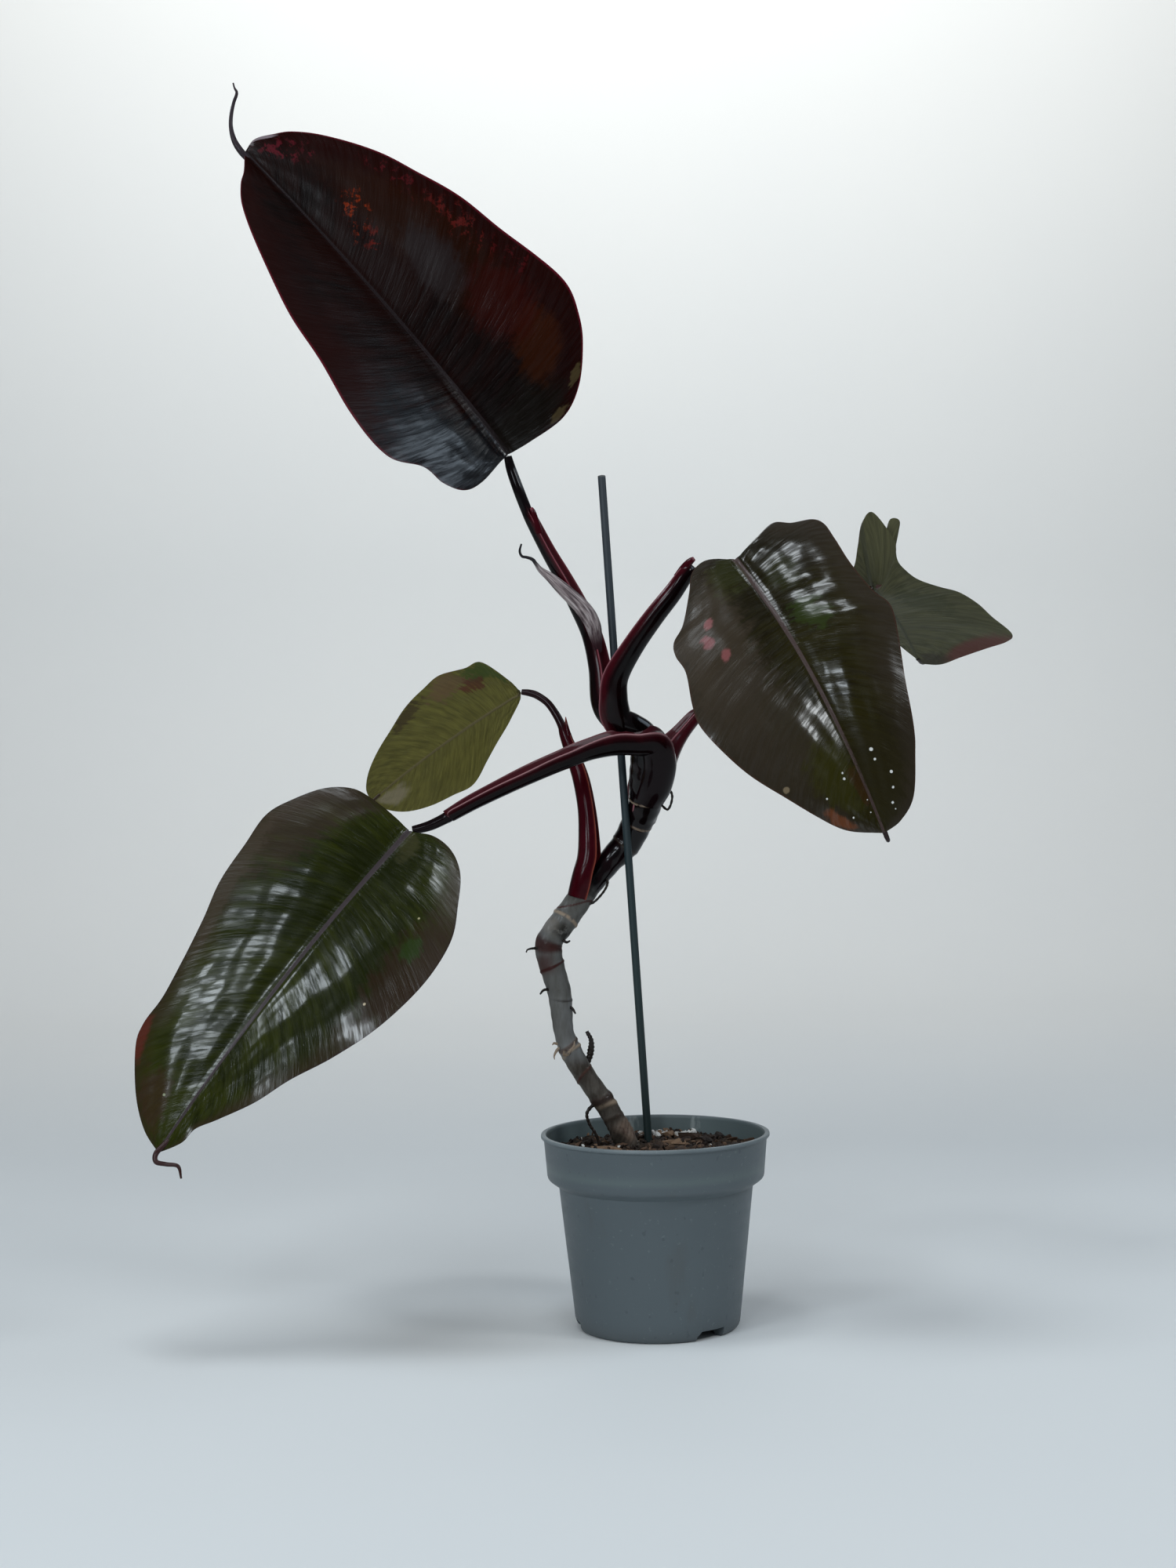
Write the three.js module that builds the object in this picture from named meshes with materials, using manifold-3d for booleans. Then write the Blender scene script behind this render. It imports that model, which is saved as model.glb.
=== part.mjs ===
// A climbing philodendron with dark red leaves, in a 13 cm nursery pot with a support stick.
// Millimetres. +Z is up, +X is to the right and -Y is to the front. The origin is the middle of the pot's
// foot, on the surface that the pot stands on.
import * as THREE from 'three';
import { mergeVertices } from 'three/addons/utils/BufferGeometryUtils.js';
import Module from 'manifold-3d';

const wasm = await Module();
wasm.setup();

// Pieces that meet keep this distance.
const GAP = 0.3;

// Pot: a thin lip and a tall rim band over a tapered body. It stands on a foot ring and on a flat disc in
// the middle of its floor; the floor between them is raised.
const RIM_RADIUS = 65;
const POT_HEIGHT = 110;
const LIP_HEIGHT = 2;
const BAND_RADIUS = 61.7;
const BAND_BOTTOM = 81;
const BODY_TOP_RADIUS = 55.2;
const FOOT_RADIUS = 44.6;
const FOOT_RING_WIDTH = 3.6;
const DISC_RADIUS = 15.5;
const FLOOR_RISE = 3;
const FLOOR_THICKNESS = 1.6;
const WALL = 1.4;
const POT_SEGMENTS = 40;
const NOTCH = { count: 3, azimuth: 38, width: 19, height: 5.4, inner: 37.5, outer: 50.6, chamfer: 3 };

// Potting mix: its level, how uneven its top is, and the rings of its top from the wall to the middle.
const SOIL_LEVEL = 100;
const SOIL_RELIEF = 1.1;
const SOIL_WALL_GAP = 0.4;
const SOIL_RINGS = [58, 48, 37, 26, 14, 0];
const BARK_CHIPS = [
  { at: [21, 31, 101.5], size: [14, 6, 6], turn: 12, tilt: 8 },
  { at: [-26, -4, 100.4], size: [18, 7, 4], turn: -20, tilt: 4 },
  { at: [34, -22, 100.4], size: [12, 7, 4], turn: 55, tilt: -6 },
  { at: [6, -40, 100.2], size: [15, 6, 4], turn: 160, tilt: 5 },
];

// Support stick, a straight rod.
const STAKE = { radius: 2.25, sides: 16, top: [-24.4, 14, 485], soil: [-3.4, 24, 102], buried: 88 };

// Stem: centre line and radius from its buried foot to the crown, [x, y, z, radius].
const STEM_SIDES = 12;
const STEM_STEPS = 56;
const STEM = [
  [0, 13, 72, 6], [-7, 12, 86, 6.2], [-13.6, 12, 97, 6.6], [-21, 12, 112, 6], [-28, 12, 124.5, 6.1],
  [-36.6, 12, 137, 5.9], [-43.4, 12, 148, 6.1], [-48.2, 12, 157, 6.2], [-51, 12, 166, 5.7],
  [-52.2, 13, 178, 6.3], [-53.6, 14, 190, 6.8], [-56.4, 15, 200, 7], [-58.7, 16, 209, 7.5],
  [-59, 17, 216, 7.6], [-56.3, 18, 222, 7.5], [-51.3, 20, 228.4, 7.7], [-46.6, 21, 234.5, 7.5],
  [-42, 22, 240.5, 7.4], [-37.2, 24, 247.2, 7.2], [-30.2, 27, 255, 6.9], [-22.4, 30, 263.8, 7.3],
  [-13.2, 31, 273.5, 8.5], [-6.2, 28, 287, 9.1], [-1.6, 20.5, 299, 9.9], [-1, 13, 311, 10.4],
  [-0.6, 8, 322, 10], [-2.4, 5, 334, 8.6], [-9.5, 3, 340.5, 8.2], [-16.5, 2.4, 344, 7.2],
];

// Aerial roots grown from the stem, [x, y, z, radius].
const ROOT_SIDES = 5;
const ROOT_STEPS = 3;
const AERIAL_ROOTS = [
  [[3, 16, 303, 0.9], [9.5, 13, 306, 0.8], [13.2, 13.5, 300.8, 0.7], [10.6, 16, 293, 0.7],
    [5, 20, 298, 0.8]],
  [[-27, 27, 256, 0.9], [-24.6, 22.5, 251.5, 0.8], [-27, 20, 246, 0.7], [-33, 18.5, 240, 0.7],
    [-38, 21, 239, 0.8]],
  [[-42, 12.5, 142, 2], [-37.6, 13.5, 149, 1.7], [-35.9, 14, 155, 2], [-35.6, 15, 161, 1.4],
    [-38, 15.5, 166, 1.1]],
  [[-32, 11.5, 127, 1.2], [-38.4, 9, 120.5, 1], [-37.4, 8.5, 114, 0.9], [-33.4, 8, 107, 0.9],
    [-29, 8, 93, 0.9]],
  [[-60, 15, 214, 1], [-67, 12.6, 214.6, 0.8], [-71, 11.6, 214, 0.5], [-72, 11.2, 212.4, 0.4]],
  [[-55, 14, 190, 1], [-61.6, 9.6, 191, 0.8], [-64.4, 8.4, 188.6, 0.5]],
  [[-54, 14, 181, 1], [-47, 10, 180.6, 0.9], [-44.2, 9, 177, 0.5]],
  [[-54, 18, 222, 1], [-49.4, 12.4, 218, 0.8], [-46.8, 11, 218.6, 0.5]],
];

// Petioles: [x, y, z, radius, sheath], where sheath goes from 1 for a winged channel to 0 for a bare
// round stalk. `channel` is the way that the channel opens.
const PETIOLE_SIDES = 12;
const PETIOLE_STEPS = 2;
const PETIOLES = {
  petiole_small_left: {
    channel: [0.9, -0.1, 0.4],
    colour: 0x451619,
    stations: [
      [-41.4, 20.5, 243, 6.8, 1], [-38, 20.5, 255, 7.2, 1], [-35, 22, 265, 7.2, 1],
      [-34.6, 25, 277, 6.6, 1], [-35.7, 28.5, 294.3, 5.7, 1], [-38.9, 32, 312, 5.3, 1],
      [-44, 35, 327, 4.5, 1], [-47.8, 37.4, 337.4, 3.6, 0.8], [-49.8, 38.6, 342.6, 2.6, 0.1],
      [-53.3, 41, 349.4, 2.3, 0], [-57.9, 44, 355.9, 2.2, 0], [-63.8, 47, 360.3, 2.2, 0],
      [-68.3, 48.2, 362, 2.1, 0], [-73, 49.3, 362.7, 1.7, 0],
    ],
  },
  petiole_lower_left: {
    channel: [0.6, -0.1, 0.8],
    colour: 0x2a1114,
    stations: [
      [0, 14, 300, 9, 0], [3.6, 7, 308, 9.6, 0], [6, 0.5, 320, 9.6, 0], [3.6, -4, 331.6, 10, 0.5],
      [-8, -7, 332, 8, 1], [-20.5, -8.5, 331.8, 7.6, 1], [-34.6, -10, 328.2, 6.4, 1],
      [-47.8, -12, 323.2, 6, 1], [-61.5, -14, 317.6, 5.7, 1], [-79, -17, 309.8, 5.2, 1],
      [-97, -19, 301.2, 4.7, 1], [-106.5, -19.8, 296.2, 4.4, 1], [-112.5, -20, 292.8, 4.1, 0.8],
      [-115, -20.1, 291, 3.2, 0], [-124, -20.4, 286.9, 2.9, 0], [-133.4, -20.2, 284.5, 2.4, 0],
    ],
  },
  petiole_back_right: {
    channel: [-0.5, -0.45, 0.75],
    colour: 0x4a141c,
    stations: [
      [-4.5, 29.5, 287, 8.6, 1], [-1.6, 22.5, 303, 11.6, 1], [4.2, 20, 316, 10.8, 1],
      [11.4, 25, 327.4, 7.8, 1],
      [19.3, 31.5, 336.9, 5.3, 1], [28, 38, 346.5, 4.3, 0.9], [33, 41.5, 350.6, 3.4, 0.1],
      [47, 48.5, 362, 3.1, 0],
      [70.5, 55, 380, 3, 0], [101.5, 60, 401, 2.9, 0], [124, 60.4, 414, 2.7, 0],
      [135.5, 65.4, 421.2, 1.9, 0],
    ],
  },
  petiole_right: {
    channel: [-0.7, 0.15, 0.7],
    colour: 0x3a1219,
    stations: [
      [-15.5, 2, 336, 6.6, 1], [-18.4, 1.5, 346, 8.6, 1], [-19.8, -1, 357, 8.2, 1],
      [-18.4, -3, 369.6, 7.7, 1],
      [-9, -6.5, 385.6, 6.7, 1], [2.7, -10, 401.6, 6.2, 1], [14, -12.6, 415.4, 5.7, 1],
      [22, -12.6, 426.2, 4.9, 1], [25, -10, 426.6, 3.8, 0.1], [32, -7.5, 425.6, 3.2, 0],
      [41, -10.5, 427.6, 2.9, 0], [47.5, -18.5, 431.1, 2.2, 0],
    ],
  },
  petiole_top_left: {
    channel: [0.75, -0.55, 0.35],
    colour: 0x35141a,
    stations: [
      [-19, 6, 341, 5.4, 1], [-25, 10.2, 354, 7.4, 1], [-27.4, 12.6, 375, 6.4, 1],
      [-31.6, 14, 393.8, 5.8, 1],
      [-39, 14.5, 410.8, 5.4, 1], [-47.4, 14, 427, 4.8, 1], [-56.1, 12.4, 442.6, 4.2, 1],
      [-64.4, 10.5, 459, 3.8, 0.9], [-67.6, 10, 465.5, 3.3, 0.1], [-72.1, 9.2, 477.3, 3.2, 0],
      [-76, 9.8, 488.8, 2.9, 0], [-77.8, 8.6, 496.1, 2.3, 0],
    ],
  },
};

// Withered sheath of a new leaf: [x, y, z, half width], flattened to `flatness` of its width.
const WITHERED = {
  sides: 8,
  steps: 28,
  flatness: 0.42,
  thinnest: 0.5,
  facing: [0.25, -0.9, 0.3],
  stations: [
    [-27.5, 9, 383.6, 1.8], [-28.6, 7, 389, 3], [-29.6, 6, 394.4, 4], [-31, 5, 399.8, 4.5],
    [-34.2, 4.4, 406, 4.8], [-39.6, 4, 412.4, 4.6], [-47.6, 4.6, 420, 3.9], [-54.6, 6, 426.6, 2.8],
    [-60, 7, 431, 1.8], [-62.6, 7.4, 434.4, 1.2], [-64.6, 7.4, 437, 1.1], [-67.8, 7.2, 438.3, 0.9],
    [-70.6, 7, 439, 0.8], [-71.8, 7, 442, 0.7], [-70.8, 7, 446, 0.5],
  ],
};

// Leaf blades. Each is described lying in its own frame: x along the midrib from the sinus to the tip,
// y across to the leaf's left, z out of the upper face. `left` and `right` are the margin from the
// sinus round the lobe to the tip, [x, y] with y counted outwards, and an optional lift of that point
// out of the frame. `fold` is the rise of each half in degrees at the base and at the tip, `arch` the
// height of the midrib's bow, and `belly` the swelling of each half between midrib and margin, where that
// half is `bellyAt` wide.
const BLADE = {
  thickness: 1, ridgeDepth: 2.2, ridgeTaper: 0.85, bellyAt: 70, veinSlant: 1.6, spread: 1.25,
};
const TAIL_SIDES = 5;
const LEAVES = {
  leaf_top_left: {
    base: [-78, 8, 497], tip: [-223, -4, 668], facing: [0.38, -0.89, 0.26],
    fold: { left: [27, 20], right: [27, 15] }, arch: 6, belly: 3,
    left: [[-1, 10], [-4, 34], [-2, 50.5], [8, 61], [21, 64.5, -1], [37, 82], [68, 82, 1], [103, 71.5],
      [133, 63.5],
      [169, 48.5], [196, 33], [208, 22.5, 2], [214, 13.5, 3]],
    right: [[-3, 14], [-5, 34, 1], [3, 51], [19, 66], [33, 74], [51, 79.5], [75.5, 78], [102.5, 73.2],
      [128.5, 69],
      [151.5, 63], [176, 55], [203, 39.4], [216.5, 27.6, 1], [222, 18, 2.5], [226.5, 8, 2.5]],
    tail: [[214, 0.5, -0.6, 1.2], [221, 1.2, 0, 1.9], [227.5, 1.4, 0.4, 2], [234, -0.3, 0, 1.7],
      [240.5, -3.8, 0.7, 1.3], [245.8, -8.5, 2.2, 1.15], [250, -13.7, 4, 1], [253, -18.3, 5.6, 0.9],
      [256.3, -19.6, 5.4, 0.6], [258.9, -21, 5.4, 0.5]],
    rows: 24, columns: 6, colour: 0x2b1317,
  },
  leaf_lower_left: {
    base: [-135, -22, 283.5], tip: [-269, -75, 115], facing: [-0.18, -0.89, 0.43],
    fold: { left: [12, 5], right: [12, 5] }, arch: 10, belly: 4,
    left: [[-5, 14], [-3, 30], [6, 45], [21, 57], [39, 68.4], [60, 72], [83, 70.4], [106, 65.2],
      [128, 55],
      [150, 41.3], [171, 31.6], [189, 19.3], [200, 10.8], [210, 9, 1]],
    right: [[-2, 11], [-3, 26], [-1.5, 40.5], [8, 53.2], [24.5, 62.8], [40, 67.8], [61, 65.6],
      [86, 63.8],
      [108, 58], [132, 52.4], [154, 49], [172, 49.6], [184.4, 45.7], [204, 30], [216.4, 14.4]],
    tail: [[213, 1, 1, 1.8], [222, 0, 2, 1.6], [226, 4, 4, 1.5], [224, 10, 5, 1.3], [221, 16, 4, 1.1],
      [225, 21, 2, 0.6]],
    rows: 24, columns: 6, colour: 0x2c2a1c,
  },
  leaf_right: {
    base: [49, -22, 432], tip: [122, -85, 281], facing: [0.03, -0.92, 0.4],
    fold: { left: [5, 5], right: [5, 5] }, arch: 22, belly: 5,
    left: [[-2, 4], [-10, 19], [-15, 32], [-9, 40], [-5, 51], [2, 54.5], [15, 53.4], [31, 51.6],
      [45, 52], [59, 54],
      [71, 57], [92, 51], [115, 43.4], [138, 36.8], [149, 32.4], [168.8, 22.3], [177, 11]],
    right: [[-6, 7], [-8, 16], [-2, 26], [12, 35], [31, 48.4], [40, 58.4], [49, 62], [61, 62], [79, 67.2],
      [92, 69.3],
      [108, 65.8], [125.4, 57.8], [143.8, 44.6], [159.4, 31.8], [171.4, 18.6]],
    tail: [[171, 2, 3, 1.7], [179, 1, -1, 1.5], [182, 2, -6, 1.2], [178, 3, -11, 0.7]],
    rows: 24, columns: 6, colour: 0x2e241c,
  },
  leaf_small_left: {
    base: [-74.1, 50, 362.5], tip: [-164, 62, 299.6], facing: [-0.28, 0.8, 0.53],
    fold: { left: [-10, -5], right: [-10, -5] }, arch: 4, belly: 2,
    left: [[0, 12], [4.8, 36.4], [15, 39.4], [29, 46], [42, 43.4], [59, 39], [74, 32], [96, 20.4],
      [107, 10]],
    right: [[3, 4], [15.7, 12.2], [28.5, 18.6], [41.6, 26], [58, 33.4], [71, 32], [85, 28], [99, 21],
      [107, 11]],
    tail: [[104, 0, 1, 1.2], [110, 0, 0, 1.1], [115, 2, -2, 0.9], [118, 4, -4, 0.6]],
    rows: 16, columns: 5, colour: 0x4d5232,
  },
  leaf_back_right: {
    base: [136, 66, 421.7], tip: [178.5, 170, 380], facing: [0.04, 0.36, 0.93],
    fold: { left: [4, 2], right: [2, 2] }, arch: 6, belly: 3,
    left: [[0, -3, 5], [-2, -11, 11], [-8, -17, 22], [-16, -15, 32], [-26, -7, 44], [-26, -1, 36],
      [-20, 3, 24],
      [-11, 9, 10], [1, 24, 6], [16, 37, 2], [38, 39, -2], [61, 29, -3], [80, 17, -2], [94.6, 8.6],
      [105.2, 4.4], [113, 1.4]],
    right: [[1, 2, 5], [-2, 6, 16], [-8, 12, 36], [-9, 15, 41], [-5, 19, 39], [-0.6, 15.4, 28],
      [7, 14, 18], [17, 17, 13],
      [29, 22, 10], [44, 31, 9], [59, 40, 10], [74, 48, 8], [89, 54, 5], [108, 62, 3], [117, 57, 4],
      [121, 43, 4],
      [123, 26, 2], [125.6, 12, 1]],
    tail: [[114, 0, 1, 1.3], [121, -1, 1, 1.2], [126, -2, 3, 1], [126, -3, 6, 0.7]],
    rows: 28, columns: 5, colour: 0x454a34,
  },
};

const vector = (p) => new THREE.Vector3(p[0], p[1], p[2]);
const smoothCurve = (points) => new THREE.CatmullRomCurve3(points, false, 'catmullrom', 0.5);
const radians = THREE.MathUtils.degToRad;

// Makes an indexed geometry from a list of points and a list of triangles.
function faceted(points, triangles) {
  const geometry = new THREE.BufferGeometry();
  const numbers = points.flatMap((p) => [p.x, p.y, p.z]);
  geometry.setAttribute('position', new THREE.Float32BufferAttribute(numbers, 3));
  geometry.setIndex(triangles.flat());
  return geometry;
}

// Turns a closed geometry into a solid, with its shared vertices merged.
function solid(geometry) {
  const bare = geometry.clone();
  bare.deleteAttribute('normal');
  bare.deleteAttribute('uv');
  const merged = mergeVertices(bare, 1e-4);
  return new wasm.Manifold(new wasm.Mesh({
    numProp: 3,
    vertProperties: new Float32Array(merged.attributes.position.array),
    triVerts: new Uint32Array(merged.index.array),
  }));
}

// Turns a solid back into a geometry, keeping only its largest body.
function largestBody(shape) {
  const bodies = shape.decompose().sort((a, b) => b.volume() - a.volume());
  const mesh = bodies[0].getMesh();
  const geometry = new THREE.BufferGeometry();
  geometry.setAttribute('position', new THREE.Float32BufferAttribute(mesh.vertProperties, 3));
  geometry.setIndex(new THREE.Uint32BufferAttribute(mesh.triVerts, 1));
  return geometry;
}

// How far the middle of a swept shape's end stands out, in radii.
const END_BULGE = 0.2;

// Carries a closed section along a smooth path. `stations` are [x, y, z, ...values]; `section` gives the
// ring of [across, outwards] points for the values at one place, and `up` is where outwards points. Both
// ends stand out by `grow` more.
function sweep(stations, steps, up, section, grow = 0) {
  const path = smoothCurve(stations.map(vector));
  const widths = smoothCurve(stations.map((s) => new THREE.Vector3(s[3], s[4] ?? 0, 0)));
  const points = [];
  const triangles = [];
  let sides = 0;
  for (let i = 0; i <= steps; i++) {
    const u = i / steps;
    const along = path.getTangent(u);
    const centre = path.getPoint(u).addScaledVector(along, grow * ((i === steps) - (i === 0)));
    const outwards = up.clone().addScaledVector(along, -up.dot(along)).normalize();
    const across = new THREE.Vector3().crossVectors(along, outwards);
    const values = widths.getPoint(u);
    const ring = section(values.x, THREE.MathUtils.clamp(values.y, 0, 1));
    sides = ring.length;
    ring.forEach(([a, b]) => {
      points.push(centre.clone().addScaledVector(across, a).addScaledVector(outwards, b));
    });
  }
  for (let i = 0; i < steps; i++) {
    for (let k = 0; k < sides; k++) {
      const a = i * sides + k;
      const b = i * sides + (k + 1) % sides;
      triangles.push([a, b + sides, b], [a, a + sides, b + sides]);
    }
  }
  const ends = [[0, -1], [steps, 1]];
  ends.forEach(([ring, way]) => {
    const u = ring / steps;
    const bulge = widths.getPoint(u).x * END_BULGE + grow;
    points.push(path.getPoint(u).addScaledVector(path.getTangent(u), bulge * way));
    const middle = points.length - 1;
    for (let k = 0; k < sides; k++) {
      const a = ring * sides + k;
      const b = ring * sides + (k + 1) % sides;
      triangles.push(way > 0 ? [b, a, middle] : [a, b, middle]);
    }
  });
  return faceted(points, triangles);
}

const round = (sides, grow = 0) => (radius) => Array.from({ length: sides }, (_, k) => {
  const angle = 2 * Math.PI * k / sides;
  return [(radius + grow) * Math.cos(angle), (radius + grow) * Math.sin(angle)];
});

// A petiole's section: round behind, with a channel between two raised wings in front where the sheath
// is full. The channel's floor and the wings are this far from the middle, in radii.
const CHANNEL_FLOOR = 0.3;
const WING_HEIGHT = 1.02;
const WING_ANGLE = radians(42);
function petioleSection(radius, sheath, grow) {
  return Array.from({ length: PETIOLE_SIDES }, (_, k) => {
    const angle = Math.PI / 2 + 2 * Math.PI * (k + 0.5) / PETIOLE_SIDES;
    const fromFront = Math.abs(Math.atan2(Math.sin(angle - Math.PI / 2), Math.cos(angle - Math.PI / 2)));
    const channel = fromFront < WING_ANGLE ? CHANNEL_FLOOR : WING_HEIGHT;
    const shaped = THREE.MathUtils.lerp(1, channel, sheath * (fromFront < Math.PI / 2 ? 1 : 0));
    const reach = radius * shaped + grow;
    return [reach * Math.cos(angle), reach * Math.sin(angle)];
  });
}

// The pot's outer face from the middle of its underside up to its lip, [radius, height].
function potOutside() {
  return [
    [0, 0], [DISC_RADIUS, 0], [DISC_RADIUS + 3.5, FLOOR_RISE],
    [FOOT_RADIUS - FOOT_RING_WIDTH - 2.5, FLOOR_RISE], [FOOT_RADIUS - FOOT_RING_WIDTH, 0],
    [FOOT_RADIUS, 0], [FOOT_RADIUS + 1.2, 0.9], [FOOT_RADIUS + 2.1, 3], [FOOT_RADIUS + 2.5, 6],
    [BODY_TOP_RADIUS, BAND_BOTTOM - 0.7], [BODY_TOP_RADIUS + 0.5, BAND_BOTTOM],
    [BAND_RADIUS - 0.9, BAND_BOTTOM + 3.6], [BAND_RADIUS, BAND_BOTTOM + 5.4],
    [BAND_RADIUS + 1.7, POT_HEIGHT - LIP_HEIGHT - 0.9], [RIM_RADIUS, POT_HEIGHT - LIP_HEIGHT],
    [RIM_RADIUS, POT_HEIGHT - 0.5], [RIM_RADIUS - 0.5, POT_HEIGHT],
  ];
}

// The pot's inner face from its mouth down to the middle of its floor, [radius, height].
function potInside() {
  const floorTop = FLOOR_RISE + FLOOR_THICKNESS;
  return [
    [RIM_RADIUS - 2.6, POT_HEIGHT], [RIM_RADIUS - 3.1, POT_HEIGHT - LIP_HEIGHT],
    [BAND_RADIUS - WALL, BAND_BOTTOM + 6.6], [BAND_RADIUS - WALL - 0.8, BAND_BOTTOM + 5.2],
    [BODY_TOP_RADIUS - WALL + 0.7, BAND_BOTTOM + 1.6], [BODY_TOP_RADIUS - WALL, BAND_BOTTOM],
    [FOOT_RADIUS + 2.5 - WALL, 7], [FOOT_RADIUS + 0.4, 5.2], [FOOT_RADIUS - 0.6, floorTop],
    [DISC_RADIUS + 4.5, floorTop], [DISC_RADIUS + 0.7, FLOOR_THICKNESS], [0, FLOOR_THICKNESS],
  ];
}

// The drainage notches, cut through the foot and the wall at even angles.
function notchBars() {
  const half = NOTCH.width / 2;
  const outline = new THREE.Shape([
    [-half, -1], [half, -1], [half, NOTCH.height], [-half + NOTCH.chamfer, NOTCH.height],
    [-half, NOTCH.height - NOTCH.chamfer],
  ].map(([a, b]) => new THREE.Vector2(a, b)));
  const depth = NOTCH.outer - NOTCH.inner;
  return Array.from({ length: NOTCH.count }, (_, k) => {
    const bar = new THREE.ExtrudeGeometry(outline, { depth, bevelEnabled: false });
    bar.rotateX(Math.PI / 2).translate(0, -NOTCH.inner, 0);
    bar.rotateZ(radians(NOTCH.azimuth + 360 * k / NOTCH.count));
    return solid(bar);
  });
}

function makePot() {
  const profile = [...potOutside(), ...potInside()].map(([r, z]) => new THREE.Vector2(r, z));
  const pot = solid(new THREE.LatheGeometry(profile, POT_SEGMENTS).rotateX(Math.PI / 2));
  return largestBody(notchBars().reduce((body, notch) => body.subtract(notch), pot));
}

// The stem with its aerial roots, all of it wider by `grow`.
function makeStem(grow = 0) {
  const rootsFront = new THREE.Vector3(0.3, -0.9, 0.2);
  return AERIAL_ROOTS
    .map((root) => sweep(root, ROOT_STEPS * (root.length - 1), rootsFront, round(ROOT_SIDES, grow), grow))
    .reduce((whole, root) => whole.add(solid(root)),
      solid(sweep(STEM, STEM_STEPS, new THREE.Vector3(0, -1, 0), round(STEM_SIDES, grow), grow)));
}

function stakeGeometry(grow = 0) {
  const top = vector(STAKE.top);
  const foot = vector(STAKE.soil).lerp(top, -STAKE.buried / vector(STAKE.soil).distanceTo(top));
  const radius = STAKE.radius + grow;
  const rod = new THREE.CylinderGeometry(radius, radius, top.distanceTo(foot) + 2 * grow, STAKE.sides);
  const axis = top.clone().sub(foot).normalize();
  const turn = new THREE.Quaternion().setFromUnitVectors(new THREE.Vector3(0, 1, 0), axis);
  const middle = top.clone().lerp(foot, 0.5);
  return rod.applyQuaternion(turn).translate(middle.x, middle.y, middle.z);
}

// The mix fills the pot up to its level, with a lumpy top and a few bark chips pressed into it, and has
// plain holes for the stem and the stick.
function makeSoil(stemHole) {
  const side = potInside().reverse().filter(([, z]) => z < SOIL_LEVEL);
  const edge = BAND_RADIUS - WALL + 0.3;
  const profile = [
    ...side.map(([r, z]) => [Math.max(0, r - SOIL_WALL_GAP), z + GAP]),
    [edge, SOIL_LEVEL - 1.2],
    ...SOIL_RINGS.map((r) => [r, SOIL_LEVEL]),
  ];
  const lathe = new THREE.LatheGeometry(profile.map(([r, z]) => new THREE.Vector2(r, z)), POT_SEGMENTS);
  lathe.rotateX(Math.PI / 2);
  const place = lathe.attributes.position;
  for (let i = 0; i < place.count; i++) {
    const [x, y, z] = [place.getX(i), place.getY(i), place.getZ(i)];
    if (z > SOIL_LEVEL - 0.5) {
      const lumps = Math.sin(x * 0.31 + 1) * Math.cos(y * 0.27) + 0.6 * Math.sin(x * 0.13 - y * 0.49 + 2);
      place.setZ(i, z + SOIL_RELIEF * lumps);
    }
  }
  const chips = BARK_CHIPS.map(({ at, size, turn, tilt }) => {
    const chip = new THREE.IcosahedronGeometry(0.5, 0).scale(...size);
    return solid(chip.rotateY(radians(tilt)).rotateZ(radians(turn)).translate(...at));
  });
  const whole = chips.reduce((body, chip) => body.add(chip), solid(lathe));
  return largestBody(whole.subtract(stemHole).subtract(solid(stakeGeometry(GAP))));
}

// The frame of a leaf: where it starts, and its along, left and upper directions.
function leafFrame({ base, tip, facing }) {
  const origin = vector(base);
  const along = vector(tip).sub(origin);
  const length = along.length();
  along.normalize();
  const upper = vector(facing);
  upper.addScaledVector(along, -upper.dot(along)).normalize();
  const left = new THREE.Vector3().crossVectors(upper, along);
  const place = (x, y, z) => origin.clone()
    .addScaledVector(along, x).addScaledVector(left, y).addScaledVector(upper, z);
  return { length, upper, place };
}

// A blade between its midrib and its margin. A line across it runs from the midrib, at s, straight out
// to the margin, at s of its length, as the side veins do. Its height is the midrib's bow, the fold of
// its half, the belly of that half and the lift of the margin point.
function leafSurface(leaf) {
  const { length, place } = leafFrame(leaf);
  const margins = [-1, 1].map((side) => {
    const outline = side > 0 ? leaf.left : leaf.right;
    const points = outline.map(([x, y, lift = 0]) => new THREE.Vector3(x, y, lift));
    return smoothCurve([new THREE.Vector3(0, 0, 0), ...points, new THREE.Vector3(length, 0, 0)]);
  });
  const point = (s, t, side) => {
    const edge = margins[side > 0 ? 1 : 0].getPointAt(s);
    const start = length * s ** BLADE.veinSlant;
    const x = start + (edge.x - start) * t;
    const y = edge.y * t;
    const q = x / length;
    const [atBase, atTip] = side > 0 ? leaf.fold.left : leaf.fold.right;
    const slope = Math.tan(radians(THREE.MathUtils.lerp(atBase, atTip, q)));
    const belly = leaf.belly * 4 * t * (1 - t) * edge.y / BLADE.bellyAt;
    return place(x, side * y, 4 * leaf.arch * q * (1 - q) + y * slope + edge.z * t * t + belly);
  };
  const step = 0.02;
  const halfNormal = (s, t, side) => {
    const sm = THREE.MathUtils.clamp(s, 1.5 * step, 1 - 1.5 * step);
    const tm = THREE.MathUtils.clamp(t, step, 1 - step);
    const alongMargin = point(sm + step / 2, tm, side).sub(point(sm - step / 2, tm, side));
    const outwards = point(sm, tm + step, side).sub(point(sm, tm - step, side));
    return alongMargin.cross(outwards).multiplyScalar(side).normalize();
  };
  const normal = (s, t, side) => (t > 0 ? halfNormal(s, t, side)
    : halfNormal(s, 0, 1).add(halfNormal(s, 0, -1)).normalize());
  return { point, normal };
}

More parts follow.
